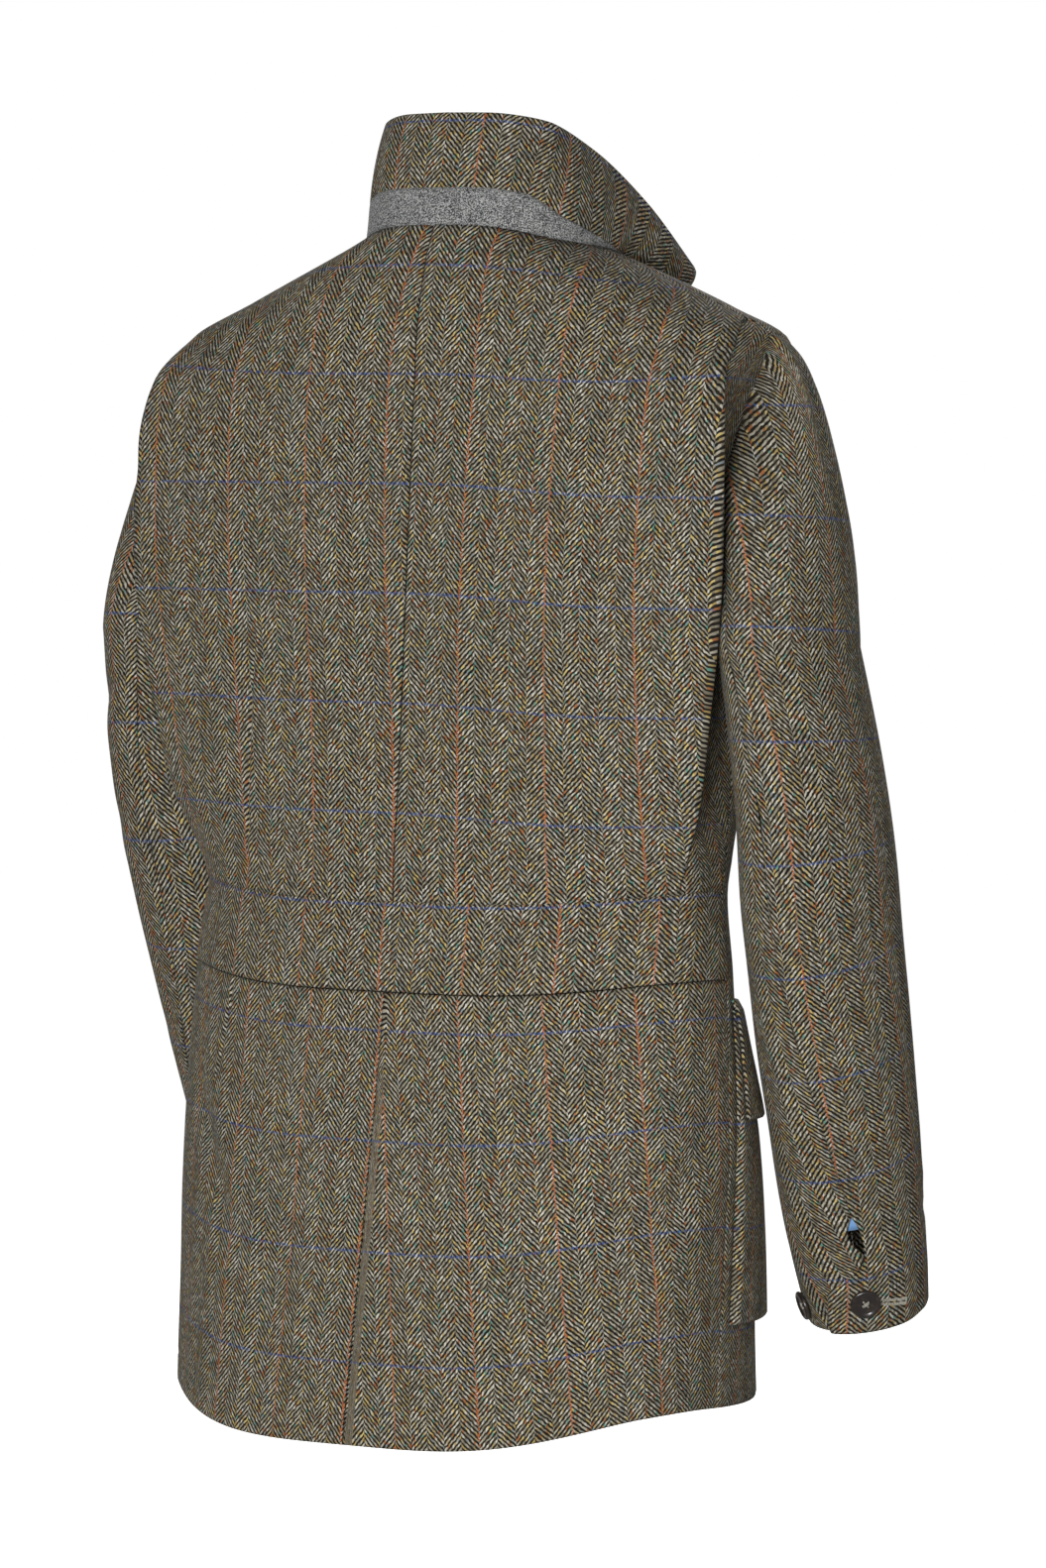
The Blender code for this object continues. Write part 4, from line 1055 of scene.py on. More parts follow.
@dataclass(frozen=True)
class SatinFinish:
    """Pale blue sleeve lining with a fine rib."""

    base: Colour = (0.260, 0.500, 0.880)
    shade: Colour = (0.200, 0.420, 0.790)
    rib: float = 0.0006
    cloud_scale: float = 160.0
    ramp: Pair = (0.35, 0.7)
    bump: Pair = (0.0001, 0.3)

    def material(self) -> bpy.types.Material:
        """Builds the shader on the UV map."""
        brush = Brush("satin_lining")
        uv = brush.coordinates("UV")
        _, down, _ = brush.split(uv)
        rib = brush.math("SINE", brush.math("MULTIPLY", down, 2.0 * math.pi / self.rib))
        cloud = brush.noise(uv, self.cloud_scale, 2.0)
        colour = brush.mix(brush.ramp(cloud, *self.ramp), (*self.shade, 1.0), (*self.base, 1.0))
        brush.bump(rib, *self.bump)
        return brush.finish(colour, {"Roughness": 0.35, "Sheen Weight": 0.2})


@dataclass(frozen=True)
class HornFinish:
    """Dark brown polished horn with paler streaks."""

    base: Colour = (0.022, 0.017, 0.015)
    streak: Colour = (0.090, 0.058, 0.038)
    draw: float = 0.35
    streak_scale: float = 260.0
    ramp: Pair = (0.48, 0.78)
    scratch_scale: float = 900.0
    bump: Pair = (0.00005, 0.25)

    def material(self) -> bpy.types.Material:
        """Builds the shader on Object coordinates."""
        brush = Brush("horn")
        place = brush.coordinates("Object")
        x, y, z = brush.split(place)
        drawn = brush.join(x, brush.math("MULTIPLY", y, self.draw), z)
        streak = brush.noise(drawn, self.streak_scale, 5.0, 0.65)
        colour = brush.mix(brush.ramp(streak, *self.ramp), (*self.base, 1.0), (*self.streak, 1.0))
        brush.bump(brush.noise(place, self.scratch_scale, 2.0), *self.bump)
        return brush.finish(colour, {"Roughness": 0.28, "Coat Weight": 0.5, "Coat Roughness": 0.12})


@dataclass(frozen=True)
class ThreadFinish:
    """Twisted sewing thread; the sunken parts of its twist, low in the bump, are painted darker as painted
    shade.
    """

    name: str
    base: Colour
    # painted shade: colour given to the sunken parts of the twist
    shade: Colour
    twist: float = 0.0005
    ramp: Pair = (-0.6, 0.8)
    bump: Pair = (0.0001, 0.5)

    def material(self) -> bpy.types.Material:
        """Builds the shader on Object coordinates."""
        brush = Brush(self.name)
        x, y, z = brush.split(brush.coordinates("Object"))
        twist = brush.math("ADD", brush.math("ADD", x, y), z)
        twist = brush.math("SINE", brush.math("MULTIPLY", twist, 2.0 * math.pi / self.twist))
        # painted shade: the twist's grooves, where the bump sinks, take the shade colour and the ridges take
        # the base colour
        colour = brush.mix(brush.ramp(twist, *self.ramp), (*self.shade, 1.0), (*self.base, 1.0))
        brush.bump(twist, *self.bump)
        return brush.finish(colour, {"Roughness": 0.7, "Sheen Weight": 0.2})


# second colour is the painted shade in the twist's grooves
PALE_THREAD = ThreadFinish("pale_thread", (0.66, 0.63, 0.54), (0.38, 0.36, 0.30))


@dataclass
class Finishes:
    """Every finish of the jacket, made once."""

    tweed: bpy.types.Material = field(default_factory=TweedFinish().material)
    melton: bpy.types.Material = field(default_factory=MeltonFinish().material)
    satin: bpy.types.Material = field(default_factory=SatinFinish().material)
    horn: bpy.types.Material = field(default_factory=HornFinish().material)
    pale_thread: bpy.types.Material = field(default_factory=PALE_THREAD.material)


@dataclass(frozen=True)
class Cut:
    """Flat size of a cut piece before it was sewn."""

    width: float
    length: float
    area: float


@dataclass
class ClothPiece:
    """One cut piece of cloth on a skin, with its wall, edges, creases and pattern.

    Attributes:
        node: Solid that the piece stands for.
        skin: Surface it lies on.
        rows: Places down the skin.
        columns: Gives the places across the skin at a row.
        lift: Height over the skin at a column and a row.
        side: Wearer's side; a right piece is the left one mirrored.
        wall: Thickness.
        edges: First column, last column, first row and last row.
        creases: Soft troughs.
        grooves: Darts.
        grain: Where the check lies.
        tube: True where the last column meets the first.
        wrapped: True where the check follows the bends of the cloth itself.
        slot: Material slot of the record.
        seam_roll: Width of the turn at a sewn edge.
        seam_sink: Depth of that turn.
        free_roll: Width of the turn at a free edge.
    """

    node: str
    skin: Skin
    rows: Sequence[float]
    columns: Callable[[float], List[float]]
    lift: Callable[[float, float], float]
    side: Side = Side.LEFT
    wall: float = WALL
    edges: Tuple[EdgeKind, EdgeKind, EdgeKind, EdgeKind] = (EdgeKind.SEAM,) * 4
    creases: Sequence[Crease] = ()
    grooves: Sequence[Groove] = ()
    grain: Grain = field(default_factory=Grain)
    tube: bool = False
    wrapped: bool = False
    slot: str = "tweed"
    seam_roll: float = 0.0026
    seam_sink: float = 0.0005
    free_roll: float = 0.0020

    def build(self, material: bpy.types.Material) -> bpy.types.Object:
        """Makes the piece's mesh and its wall.

        Args:
            material: Finish of the cloth.

        Returns:
            The object, riding on the body and standing for its solid.
        """
        grid = [[(column, row) for column in self.columns(row)] for row in self.rows]
        base = np.array([[self.skin.point(*place) for place in line] for line in grid])
        sizes = np.array([[self.skin.measure(*place) for place in line] for line in grid])
        height = np.array([[self.lift(*place) for place in line] for line in grid])
        sign = self.side.sign
        across, down = sizes[..., 0] * sign, sizes[..., 1]
        height += self.edge_height(base) + self.crease_height(across, down)
        outer = base + self.normals(base) * height[..., None]
        if self.wrapped:
            strides = np.linalg.norm(np.diff(outer, axis=1), axis=2)
            across[:, 1:] = across[:, :1] + sign * np.cumsum(strides, axis=1)
        outer[..., 0] *= sign
        pattern = [self.grain.place(a, d) for a, d in zip(across.ravel(), down.ravel())]
        return self.sheet(outer, np.array(pattern), material)

    def normals(self, base: np.ndarray) -> np.ndarray:
        """Outward directions of a grid of points."""
        turned = np.cross(np.gradient(base, axis=1), np.gradient(base, axis=0))
        if self.tube:
            wide = np.concatenate((base[:, -2:-1], base, base[:, 1:2]), axis=1)
            across = np.gradient(wide, axis=1)[:, 1:-1]
            turned = np.cross(across, np.gradient(base, axis=0))
        length = np.linalg.norm(turned, axis=2, keepdims=True)
        return turned / np.maximum(length, LEAST_LENGTH)

    def edge_height(self, base: np.ndarray) -> np.ndarray:
        """Roll of the four edges, from the distance of each point to them."""
        total = np.zeros(base.shape[:2])
        for axis, kinds in ((1, self.edges[:2]), (0, self.edges[2:])):
            steps = np.linalg.norm(np.diff(base, axis=axis), axis=2)
            run = np.cumsum(steps, axis=axis)
            start = np.zeros_like(np.take(run, [0], axis=axis))
            run = np.concatenate((start, run), axis=axis)
            end = np.take(run, [-1], axis=axis)
            for kind, away in zip(kinds, (run, end - run)):
                total -= self.roll(kind, away)
        return total

    def roll(self, kind: EdgeKind, away: np.ndarray) -> np.ndarray:
        """How far the cloth turns in at a distance from one edge."""
        if kind is EdgeKind.SEAM:
            return self.seam_sink * np.clip(1.0 - away / self.seam_roll, 0.0, 1.0) ** 2
        if kind is EdgeKind.FREE:
            inside = np.clip(1.0 - away / self.free_roll, 0.0, 1.0)
            return 0.5 * self.wall * (1.0 - np.sqrt(1.0 - inside ** 2))
        return np.zeros_like(away)

    def crease_height(self, across: np.ndarray, down: np.ndarray) -> np.ndarray:
        """Creases, sewn lines and the cloth's own softness."""
        total = np.zeros(across.shape)
        for crease in self.creases:
            total += crease.height(across, down)
        for groove in self.grooves:
            line = Crease(groove.across_0, groove.down_0, groove.across_1, groove.down_1,
                          groove.width, groove.depth, 0.0)
            total += line.height(np.abs(across), down)
        if self.creases:
            soft = [noise.noise(Vector((a / SOFT_SIZE, d / SOFT_SIZE, SOFT_SEED)))
                    for a, d in zip(across.ravel(), down.ravel())]
            total += SOFTNESS * np.reshape(soft, across.shape)
        return total

    def sheet(self, outer: np.ndarray, pattern: np.ndarray,
              material: bpy.types.Material) -> bpy.types.Object:
        """Grid shaped to the outer points, with a UV map in metres and a wall going inward.

        Args:
            outer: Points by row and column.
            pattern: Pattern coordinates of the same points.
            material: Finish.

        Returns:
            The object.
        """
        rows, cols = outer.shape[:2]
        work = bmesh.new()
        half = 0.5
        bmesh.ops.create_grid(work, x_segments=cols - 1, y_segments=rows - 1, size=half)
        flat = outer.reshape(-1, 3)
        chart = work.loops.layers.uv.new("cloth")
        work.verts.index_update()
        for face in work.faces:
            for loop in face.loops:
                loop[chart].uv = pattern[self.grid_index(loop.vert.co, half, rows, cols)]
        for vert in work.verts:
            vert.co = flat[self.grid_index(vert.co, half, rows, cols)]
        if self.side is Side.RIGHT:
            bmesh.ops.reverse_faces(work, faces=work.faces)
        if self.tube:
            bmesh.ops.remove_doubles(work, verts=work.verts, dist=TINY)
        made = new_object(f"{self.node}_cloth", work, material)
        wall = made.modifiers.new("wall", "SOLIDIFY")
        wall.thickness = self.wall
        wall.offset = -1.0
        wall.use_even_offset = True
        dress(made, self.slot, self.node)
        return made

    @staticmethod
    def grid_index(place: Vector, half: float, rows: int, cols: int) -> int:
        """Index of a grid point from its first place on the flat grid."""
        column = round((place.x + half) / (2.0 * half) * (cols - 1))
        row = round((place.y + half) / (2.0 * half) * (rows - 1))
        return row * cols + column


def new_object(name: str, work: bmesh.types.BMesh, material: bpy.types.Material) -> bpy.types.Object:
    """Object at the origin from a bmesh, shaded smooth.

    Args:
        name: Piece name.
        work: Shape, freed here.
        material: Finish.

    Returns:
        The linked object.
    """
    mesh = bpy.data.meshes.new(name)
    work.to_mesh(mesh)
    work.free()
    mesh.materials.append(material)
    mesh.shade_smooth()
    made = bpy.data.objects.new(name, mesh)
    bpy.context.scene.collection.objects.link(made)
    return made


def dress(made: bpy.types.Object, slot: str, *nodes: str) -> None:
    """Rides a piece on the body, hides the solids it stands for and logs its faces."""
    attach(made, BODY)
    if nodes:
        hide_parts(*nodes)
    LOG.info("piece %s: %d faces", made.name, len(made.data.polygons))


def flat(column: float, row: float) -> float:
    """No height over the skin."""
    return 0.0


def steps(length: float, step: float = CLOTH_STEP) -> int:
    """Whole number of steps in a length."""
    return max(int(round(length / step)), 2)


def beside_dart(dart: Groove, start: float, end: float, drop: float, count: int) -> List[float]:
    """Places across a back piece, crowded at its edges and on both sides of its dart.

    Args:
        dart: Sewn line that the places follow.
        start: First girth.
        end: Last girth.
        drop: Level.
        count: Steps on each side of the dart.

    Returns:
        Girths from start to end.
    """
    share = min(max((drop - dart.down_0) / (dart.down_1 - dart.down_0), 0.0), 1.0)
    line = dart.across_0 + (dart.across_1 - dart.across_0) * share
    line = min(line, DART_SHARE * TORSO.run(end, drop))
    near, on, far = (TORSO.shift(0.0, line + side * dart.width, drop) for side in (-1.0, 0.0, 1.0))
    return crowded(start, near, count) + [on] + crowded(far, end, count)


def own_creases(table: Sequence[Crease], side: Side) -> Tuple[Crease, ...]:
    """Creases of a table that lie on one side of the body, with those across the centre."""
    return tuple(c for c in table if c.across_0 * side.sign > -CENTRE_REACH)


def sew(piece: ClothPiece, material: bpy.types.Material, cut: Cut, held: Held, *rests_on: str) -> None:
    """Builds a cloth piece.

    Args:
        piece: Cloth to build.
        material: Its finish.
        cut: Flat size of what shows; not used.
        held: How it hangs; not used.
        rests_on: Pieces that carry it; not used.
    """
    made = piece.build(material)


@dataclass
class BackBody:
    """Back panels with their action pleats, the cloth under the pleats, and the waistband."""

    finishes: Finishes
    pleat_cover: float = 0.024
    pleat_lift: float = 0.0019
    pleat_open: float = 0.0020
    pleat_ramp: float = 0.045
    pleat_top: float = 0.040
    pleat_rise: float = 0.014
    centre_gap: float = 0.0005
    band_proud: float = 0.0014
    band_ramp: float = 0.020
    band_width: float = 0.48
    back_cut: Cut = Cut(0.265, 0.450, 0.1030)
    underlay_cut: Cut = Cut(0.125, 0.395, 0.0305)
    band_cut: Cut = Cut(0.500, 0.060, 0.030)
    sag: float = 0.0075
    centre_roll: float = 0.0034
    centre_sink: float = 0.0012
    band_sink: float = 0.0003
    band_line: float = 0.0055
    band_weft: float = 0.4465
    half_back: float = 0.12
    underlay_width: float = 0.09
    under_steps: int = 4
    least_gaps: float = 4.0

    def __post_init__(self) -> None:
        """Makes the fold line and the distance of the first rust line from the centre seam."""
        self.fold = Track((0.0, 0.056, 0.064, 0.077, 0.100, 0.444), (1.0, 1.0, 0.922, 0.860, 0.815, 0.80))
        self.line_left = Track((0.0, 0.088, 0.127, 0.200, 0.260, 0.310, 0.424, 0.444),
                               (0.0056, 0.0186, 0.0196, 0.0176, 0.0125, 0.0073, 0.0003, 0.0))
        self.line_right = Track((0.0, 0.088, 0.200, 0.260, 0.310, 0.444),
                                (-0.0485, -0.0474, -0.0438, -0.0434, -0.0450, -0.0500))

    def fold_girth(self, drop: float) -> float:
        """Girth of the pleat's fold, kept off the shoulder seam."""
        return min(self.fold(drop), TORSO.shift(1.0, -0.5 * SEAM_GAP, drop))

    def back_columns(self, drop: float) -> List[float]:
        """Places across a back panel, crowded at the centre seam and at the fold."""
        start = TORSO.shift(0.0, 0.5 * self.centre_gap, drop)
        return beside_dart(DARTS[0], start, self.fold_girth(drop), drop, steps(self.half_back))

    def fold_lift(self, girth: float, drop: float) -> float:
        """The fold stands off the cloth under it, most of all halfway down."""
        if drop < FOLD_TOP_DROP - TINY:
            return 0.0
        inside = TORSO.run(self.fold(drop), drop) - TORSO.run(girth, drop)
        half = math.sin(math.pi * (drop - FOLD_TOP_DROP) / (BAND_TOP_DROP - FOLD_TOP_DROP))
        opening = self.pleat_open * half * ease(1.0 - inside / self.pleat_cover)
        lift = self.pleat_lift * self.pleat_share(drop)
        return lift * ease(1.0 - (inside - self.pleat_cover) / self.pleat_ramp) + opening

    def pleat_share(self, drop: float) -> float:
        """Share of the pleat's thickness that lies outside: none at the shoulder seam, then all."""
        return ease((drop - FOLD_TOP_DROP) / self.pleat_top)

    def underlay_lift(self, girth: float, drop: float) -> float:
        """The cloth under the pleat goes in where the pleat does not stand out."""
        past = TORSO.run(girth, drop) - TORSO.run(self.fold_girth(drop), drop)
        return self.pleat_lift * (self.pleat_share(drop) - 1.0) * ease(1.0 - past / self.pleat_rise)

    def underlay_columns(self, drop: float) -> List[float]:
        """Places across the cloth under a pleat, out to the armhole or side seam."""
        fold = self.fold_girth(drop)
        cover = TORSO.shift(fold, -self.pleat_cover, drop)
        end = TORSO.shift(ARMHOLE.back_edge(drop), -0.5 * SEAM_GAP, drop)
        fold = min(fold, TORSO.shift(end, -self.least_gaps * SEAM_GAP, drop))
        return spread(cover, fold, self.under_steps) + crowded(fold, end, steps(self.underlay_width))[1:]

    def band_lift(self, girth: float, drop: float) -> float:
        """The band is level with the back above it and stands over the skirt below it."""
        return self.band_proud * ease((drop - BAND_TOP_DROP) / self.band_ramp)

    def band_columns(self, drop: float) -> List[float]:
        """Places across the waistband, side seam to side seam."""
        end = TORSO.shift(SIDE_SEAM, -0.5 * SEAM_GAP, drop)
        return crowded(-end, end, steps(self.band_width), crowd=0.5)

    def build(self) -> None:
        """Makes the five pieces."""
        half = 0.5 * SEAM_GAP
        rows = crowded(NECK_DROP + half, FOLD_TOP_DROP, steps(FOLD_TOP_DROP), crowd=0.0)
        length = BAND_TOP_DROP - FOLD_TOP_DROP
        rows += crowded(FOLD_TOP_DROP, BAND_TOP_DROP - half, steps(length), crowd=0.35)[1:]
        low_rows = [row for row in rows if row >= FOLD_TOP_DROP - TINY]
        free, seam, hidden = EdgeKind.FREE, EdgeKind.SEAM, EdgeKind.FLAT
        tweed = self.finishes.tweed
        for side in Side:
            line = self.line_left if side is Side.LEFT else self.line_right
            grain = Grain(line, sag=0.0 if side is Side.LEFT else self.sag)
            sew(ClothPiece(
                f"back_{side.value}", TORSO, rows, self.back_columns, self.fold_lift, side,
                edges=(seam, free, hidden, hidden), creases=own_creases(BODY_CREASES, side), grooves=DARTS,
                grain=grain, seam_roll=self.centre_roll, seam_sink=self.centre_sink,
            ), tweed, self.back_cut, Held.HUNG, "collar_stand_cloth")
            sew(ClothPiece(
                f"pleat_underlay_{side.value}", TORSO, low_rows, self.underlay_columns,
                self.underlay_lift, side, edges=(hidden, hidden, seam, seam), grain=grain,
            ), tweed, self.underlay_cut, Held.FOLDED, f"back_{side.value}_cloth")
        height = BAND_LOW_DROP - BAND_TOP_DROP
        rows = crowded(BAND_TOP_DROP + half, BAND_LOW_DROP - half, steps(height, FINE_STEP), crowd=0.5)
        sew(ClothPiece(
            "back_waistband", TORSO, rows, self.band_columns, self.band_lift,
            edges=(seam, seam, seam, free), grain=Grain(steady(self.band_line), self.band_weft),
            seam_sink=self.band_sink,
        ), tweed, self.band_cut, Held.HUNG, "back_left_cloth", "back_right_cloth")


@dataclass
class Skirts:
    """Two back skirts under the band, the left one over the right one at the vent."""

    finishes: Finishes
    vent_cover: float = 0.036
    vent_lift: float = 0.0026
    vent_flare: float = 0.0030
    band_gap: float = 0.0007
    half_width: float = 0.13
    plain_length: float = 0.25
    hem_length: float = 0.045
    hem_step: float = 0.0014
    weft: float = 0.5287
    left_line: float = 0.001
    left_scale: float = 1.12
    right_line: float = -0.054
    right_scale: float = 1.07
    right_lean: float = 0.15
    lean_from: float = 0.496
    left_cut: Cut = Cut(0.275, 0.300, 0.0780)
    right_cut: Cut = Cut(0.310, 0.300, 0.0885)

    def columns(self, under: float) -> Callable[[float], List[float]]:
        """Places across half the skirt.

        Args:
            under: How far it reaches past the centre back, under the other half.

        Returns:
            Function from a drop to places.
        """
        def places(drop: float) -> List[float]:
            start = TORSO.shift(0.0, -under, drop)
            end = TORSO.shift(SIDE_SEAM, -0.5 * SEAM_GAP, drop)
            return beside_dart(DARTS[1], start, end, drop, steps(self.half_width + under))
        return places

    def over_lift(self, girth: float, drop: float) -> float:
        """The upper half stands off the lower one along the vent."""
        inside = TORSO.run(girth, drop)
        down = (drop - BAND_LOW_DROP) / (HEM_DROP - BAND_LOW_DROP)
        edge = self.vent_flare * down * ease(1.0 - inside / self.vent_cover)
        return self.vent_lift * ease(1.0 - (inside - self.vent_cover) / self.vent_cover) + edge

    def stitched(self, lift: Callable[[float, float], float]) -> Callable[[float, float], float]:
        """Adds the hem's stitch line and its thicker turn-up to a lift."""
        def height(girth: float, drop: float) -> float:
            side = ease(abs(girth) / FOLD_GIRTH)
            up = HEM_STITCH_UP + (HEM_STITCH_SIDE_UP - HEM_STITCH_UP) * side
            away = (drop - (HEM_DROP - up)) / HEM_STITCH_WIDTH
            return lift(girth, drop) - HEM_STITCH_DEPTH * math.exp(-away * away)
        return height

    def build(self) -> None:
        """Makes both halves."""
        turn_up = HEM_DROP - 2.0 * HEM_STITCH_UP
        rows = crowded(BAND_LOW_DROP + self.band_gap, turn_up, steps(self.plain_length), crowd=0.2)
        rows += crowded(turn_up, HEM_DROP, steps(self.hem_length, self.hem_step), crowd=0.3)[1:]
        left = Grain(steady(self.left_line), self.weft, scale=self.left_scale)
        right = Grain(steady(self.right_line), self.weft, scale=self.right_scale, lean=self.right_lean,
                      lean_from=self.lean_from)
        halves = (
            (Side.LEFT, 0.0, self.over_lift, left, self.left_cut),
            (Side.RIGHT, self.vent_cover, flat, right, self.right_cut),
        )
        for side, under, lift, grain, cut in halves:
            sew(ClothPiece(
                f"skirt_{side.value}", TORSO, rows, self.columns(under), self.stitched(lift), side,
                edges=(EdgeKind.FREE, EdgeKind.SEAM, EdgeKind.SEAM, EdgeKind.FREE),
                creases=own_creases(BODY_CREASES, side), grooves=DARTS, grain=grain,
            ), self.finishes.tweed, cut, Held.HUNG, "back_waistband_cloth")


@dataclass
class Fronts:
    """Fronts, their lapels, and the bellows pockets with their flaps."""

    finishes: Finishes
    overlap: float = 0.020
    lift: float = 0.0036
    break_drop: float = 0.300
    lapel_top: float = 0.030
    lapel_low: float = 0.215
    lapel_taper: float = 0.75
    lapel_lift: float = 0.0020
    pocket_rear: float = 0.030
    pocket_fore: float = 0.760
    pocket_top: float = 0.524
    pocket_low: float = 0.741
    pocket_mouth: float = 0.0030
    pocket_depth: float = 0.0082
    pocket_lean: float = 0.0012
    flap_top: float = 0.517
    flap_low: float = 0.599
    flap_seam: float = 0.0027
    flap_root: float = 0.0057
    flap_kick: float = 0.0112
    flap_curve: float = 0.8
    width: float = 0.25
    length: float = 0.78
    lapel_width: float = 0.08
    lapel_length: float = 0.19
    lapel_lean: float = -0.35
    pocket_width: float = 0.16
    pocket_length: float = 0.20
    flap_length: float = 0.075
    line_at: float = 0.300
    front_cut: Cut = Cut(0.300, 0.790, 0.180)
    lapel_cut: Cut = Cut(0.080, 0.190, 0.0094)
    pocket_cut: Cut = Cut(0.185, 0.215, 0.038)
    flap_cut: Cut = Cut(0.175, 0.078, 0.0132)

    def roll_line(self, drop: float) -> float:
        """Front edge: the lapel's roll line, then the straight edge past the centre."""
        straight = TORSO.shift(CENTRE_FRONT, self.overlap, drop)
        return COLLAR_END + (straight - COLLAR_END) * min(drop / self.break_drop, 1.0)

    def keys(self, drop: float) -> Tuple[float, float, float, float, float]:
        """Side edge, both pocket edges, inner edge of the overlap, and front edge."""
        start = TORSO.shift(ARMHOLE.front_edge(drop), 0.5 * SEAM_GAP, drop)
        end = self.roll_line(drop)
        inner = TORSO.shift(end, -2.0 * self.overlap, drop)
        rear = start + (inner - start) * self.pocket_rear
        fore = start + (inner - start) * self.pocket_fore
        return start, rear, fore, inner, end

    def columns(self, drop: float) -> List[float]:
        """Places across a front."""
        start, _, _, _, end = self.keys(drop)
        return crowded(start, end, steps(self.width, PLAIN_STEP), crowd=0.6)

    def over_lift(self, girth: float, drop: float) -> float:
        """The left front lies on the right one below the place where the lapels cross."""
        _, _, fore, inner, _ = self.keys(drop)
        last = inner - (inner - fore) / 3.0
        share = (girth - last) / (inner - last)
        down = (drop - self.lapel_low) / (UNDERARM_DROP - self.lapel_low)
        return self.lift * ease(share) * ease(down)

    def lapel_columns(self, drop: float) -> List[float]:
        """Places across a lapel, narrower towards its foot."""
        _, _, fore, inner, end = self.keys(drop)
        share = (drop - self.lapel_top) / (self.lapel_low - self.lapel_top)
        keep = 1.0 - self.lapel_taper * min(max(share, 0.0), 1.0) ** 2
        return crowded(end + (fore - end) * keep, end, steps(self.lapel_width))

    def pocket_columns(self, drop: float) -> List[float]:
        """Places across a pocket, wall to wall."""
        _, rear, fore, _, _ = self.keys(drop)
        return crowded(rear, fore, steps(self.pocket_width), crowd=0.92)

    def pocket_lift(self, girth: float, drop: float) -> float:
        """Depth of the bellows: full in the middle, down to the front at its three walls."""
        _, rear, fore, _, _ = self.keys(drop)
        share = (drop - self.pocket_top) / (self.pocket_low - self.pocket_top)
        depth = self.pocket_mouth + (self.pocket_depth - self.pocket_mouth) * math.sin(share * math.pi / 2.0)
        run = TORSO.run(girth, drop)
        away = min(run - TORSO.run(rear, drop), TORSO.run(fore, drop) - run, self.pocket_low - drop)
        wall = min(max(away / (3.0 * self.pocket_lean), 0.0), 1.0)
        rise = math.sqrt(1.0 - (1.0 - wall) ** 2)
        foot = WALL + LAYER_GAP
        return foot + (max(depth, foot) - foot) * rise

    def flap_columns(self, drop: float) -> List[float]:
        """Places across a flap, a little past the pocket on each side."""
        _, rear, fore, _, _ = self.keys(drop)
        start = TORSO.shift(rear, -self.pocket_lean, drop)
        return crowded(start, TORSO.shift(fore, self.pocket_lean, drop), steps(self.pocket_width), crowd=0.8)

    def flap_lift(self, girth: float, drop: float) -> float:
        """The flap is sewn on above the pocket and stands off it further down."""
        if drop < self.pocket_top:
            share = (drop - self.flap_top) / (self.pocket_top - self.flap_top)
            return self.flap_seam + (self.flap_root - self.flap_seam) * share
        share = (drop - self.pocket_top) / (self.flap_low - self.pocket_top)
        return self.flap_root + (self.flap_kick - self.flap_root) * share ** self.flap_curve

    def build(self) -> None:
        """Makes fronts, lapels, pockets and flaps."""
        rows = crowded(NECK_DROP + 0.5 * SEAM_GAP, HEM_DROP, steps(self.length, PLAIN_STEP), crowd=0.4)
        lapel_rows = crowded(self.lapel_top, self.lapel_low, steps(self.lapel_length), crowd=0.5)
        pocket_rows = crowded(self.pocket_top, self.pocket_low, steps(self.pocket_length), crowd=0.8)
        flap_rows = crowded(self.flap_top, self.flap_low, steps(self.flap_length, FINE_STEP), crowd=0.6)
        free, seam, hidden = EdgeKind.FREE, EdgeKind.SEAM, EdgeKind.FLAT
        tweed = self.finishes.tweed
        for side in Side:
            front = f"front_{side.value}"
            line = steady(self.line_at * side.sign)
            grain = Grain(line)
            sew(ClothPiece(
                front, TORSO, rows, self.columns, self.over_lift if side is Side.LEFT else flat, side,
                edges=(seam, free, seam, free), creases=own_creases(BODY_CREASES, side), grain=grain,
            ), tweed, self.front_cut, Held.HUNG, "collar_stand_cloth")
            sew(ClothPiece(
                f"lapel_{side.value}", TORSO, lapel_rows, self.lapel_columns,
                lambda girth, drop: self.lapel_lift, side, edges=(free, free, free, free),
                grain=Grain(line, lean=self.lapel_lean),
            ), tweed, self.lapel_cut, Held.FOLDED, f"{front}_cloth")
            sew(ClothPiece(
                f"pocket_{side.value}", TORSO, pocket_rows, self.pocket_columns, self.pocket_lift, side,
                edges=(hidden, hidden, free, hidden), grain=grain, wrapped=True,
            ), tweed, self.pocket_cut, Held.HUNG, f"{front}_cloth")
            sew(ClothPiece(
                f"pocket_flap_{side.value}", TORSO, flap_rows, self.flap_columns, self.flap_lift, side,
                wall=FLAP_WALL, edges=(free, free, hidden, free), grain=grain,
            ), tweed, self.flap_cut, Held.HUNG, f"{front}_cloth")


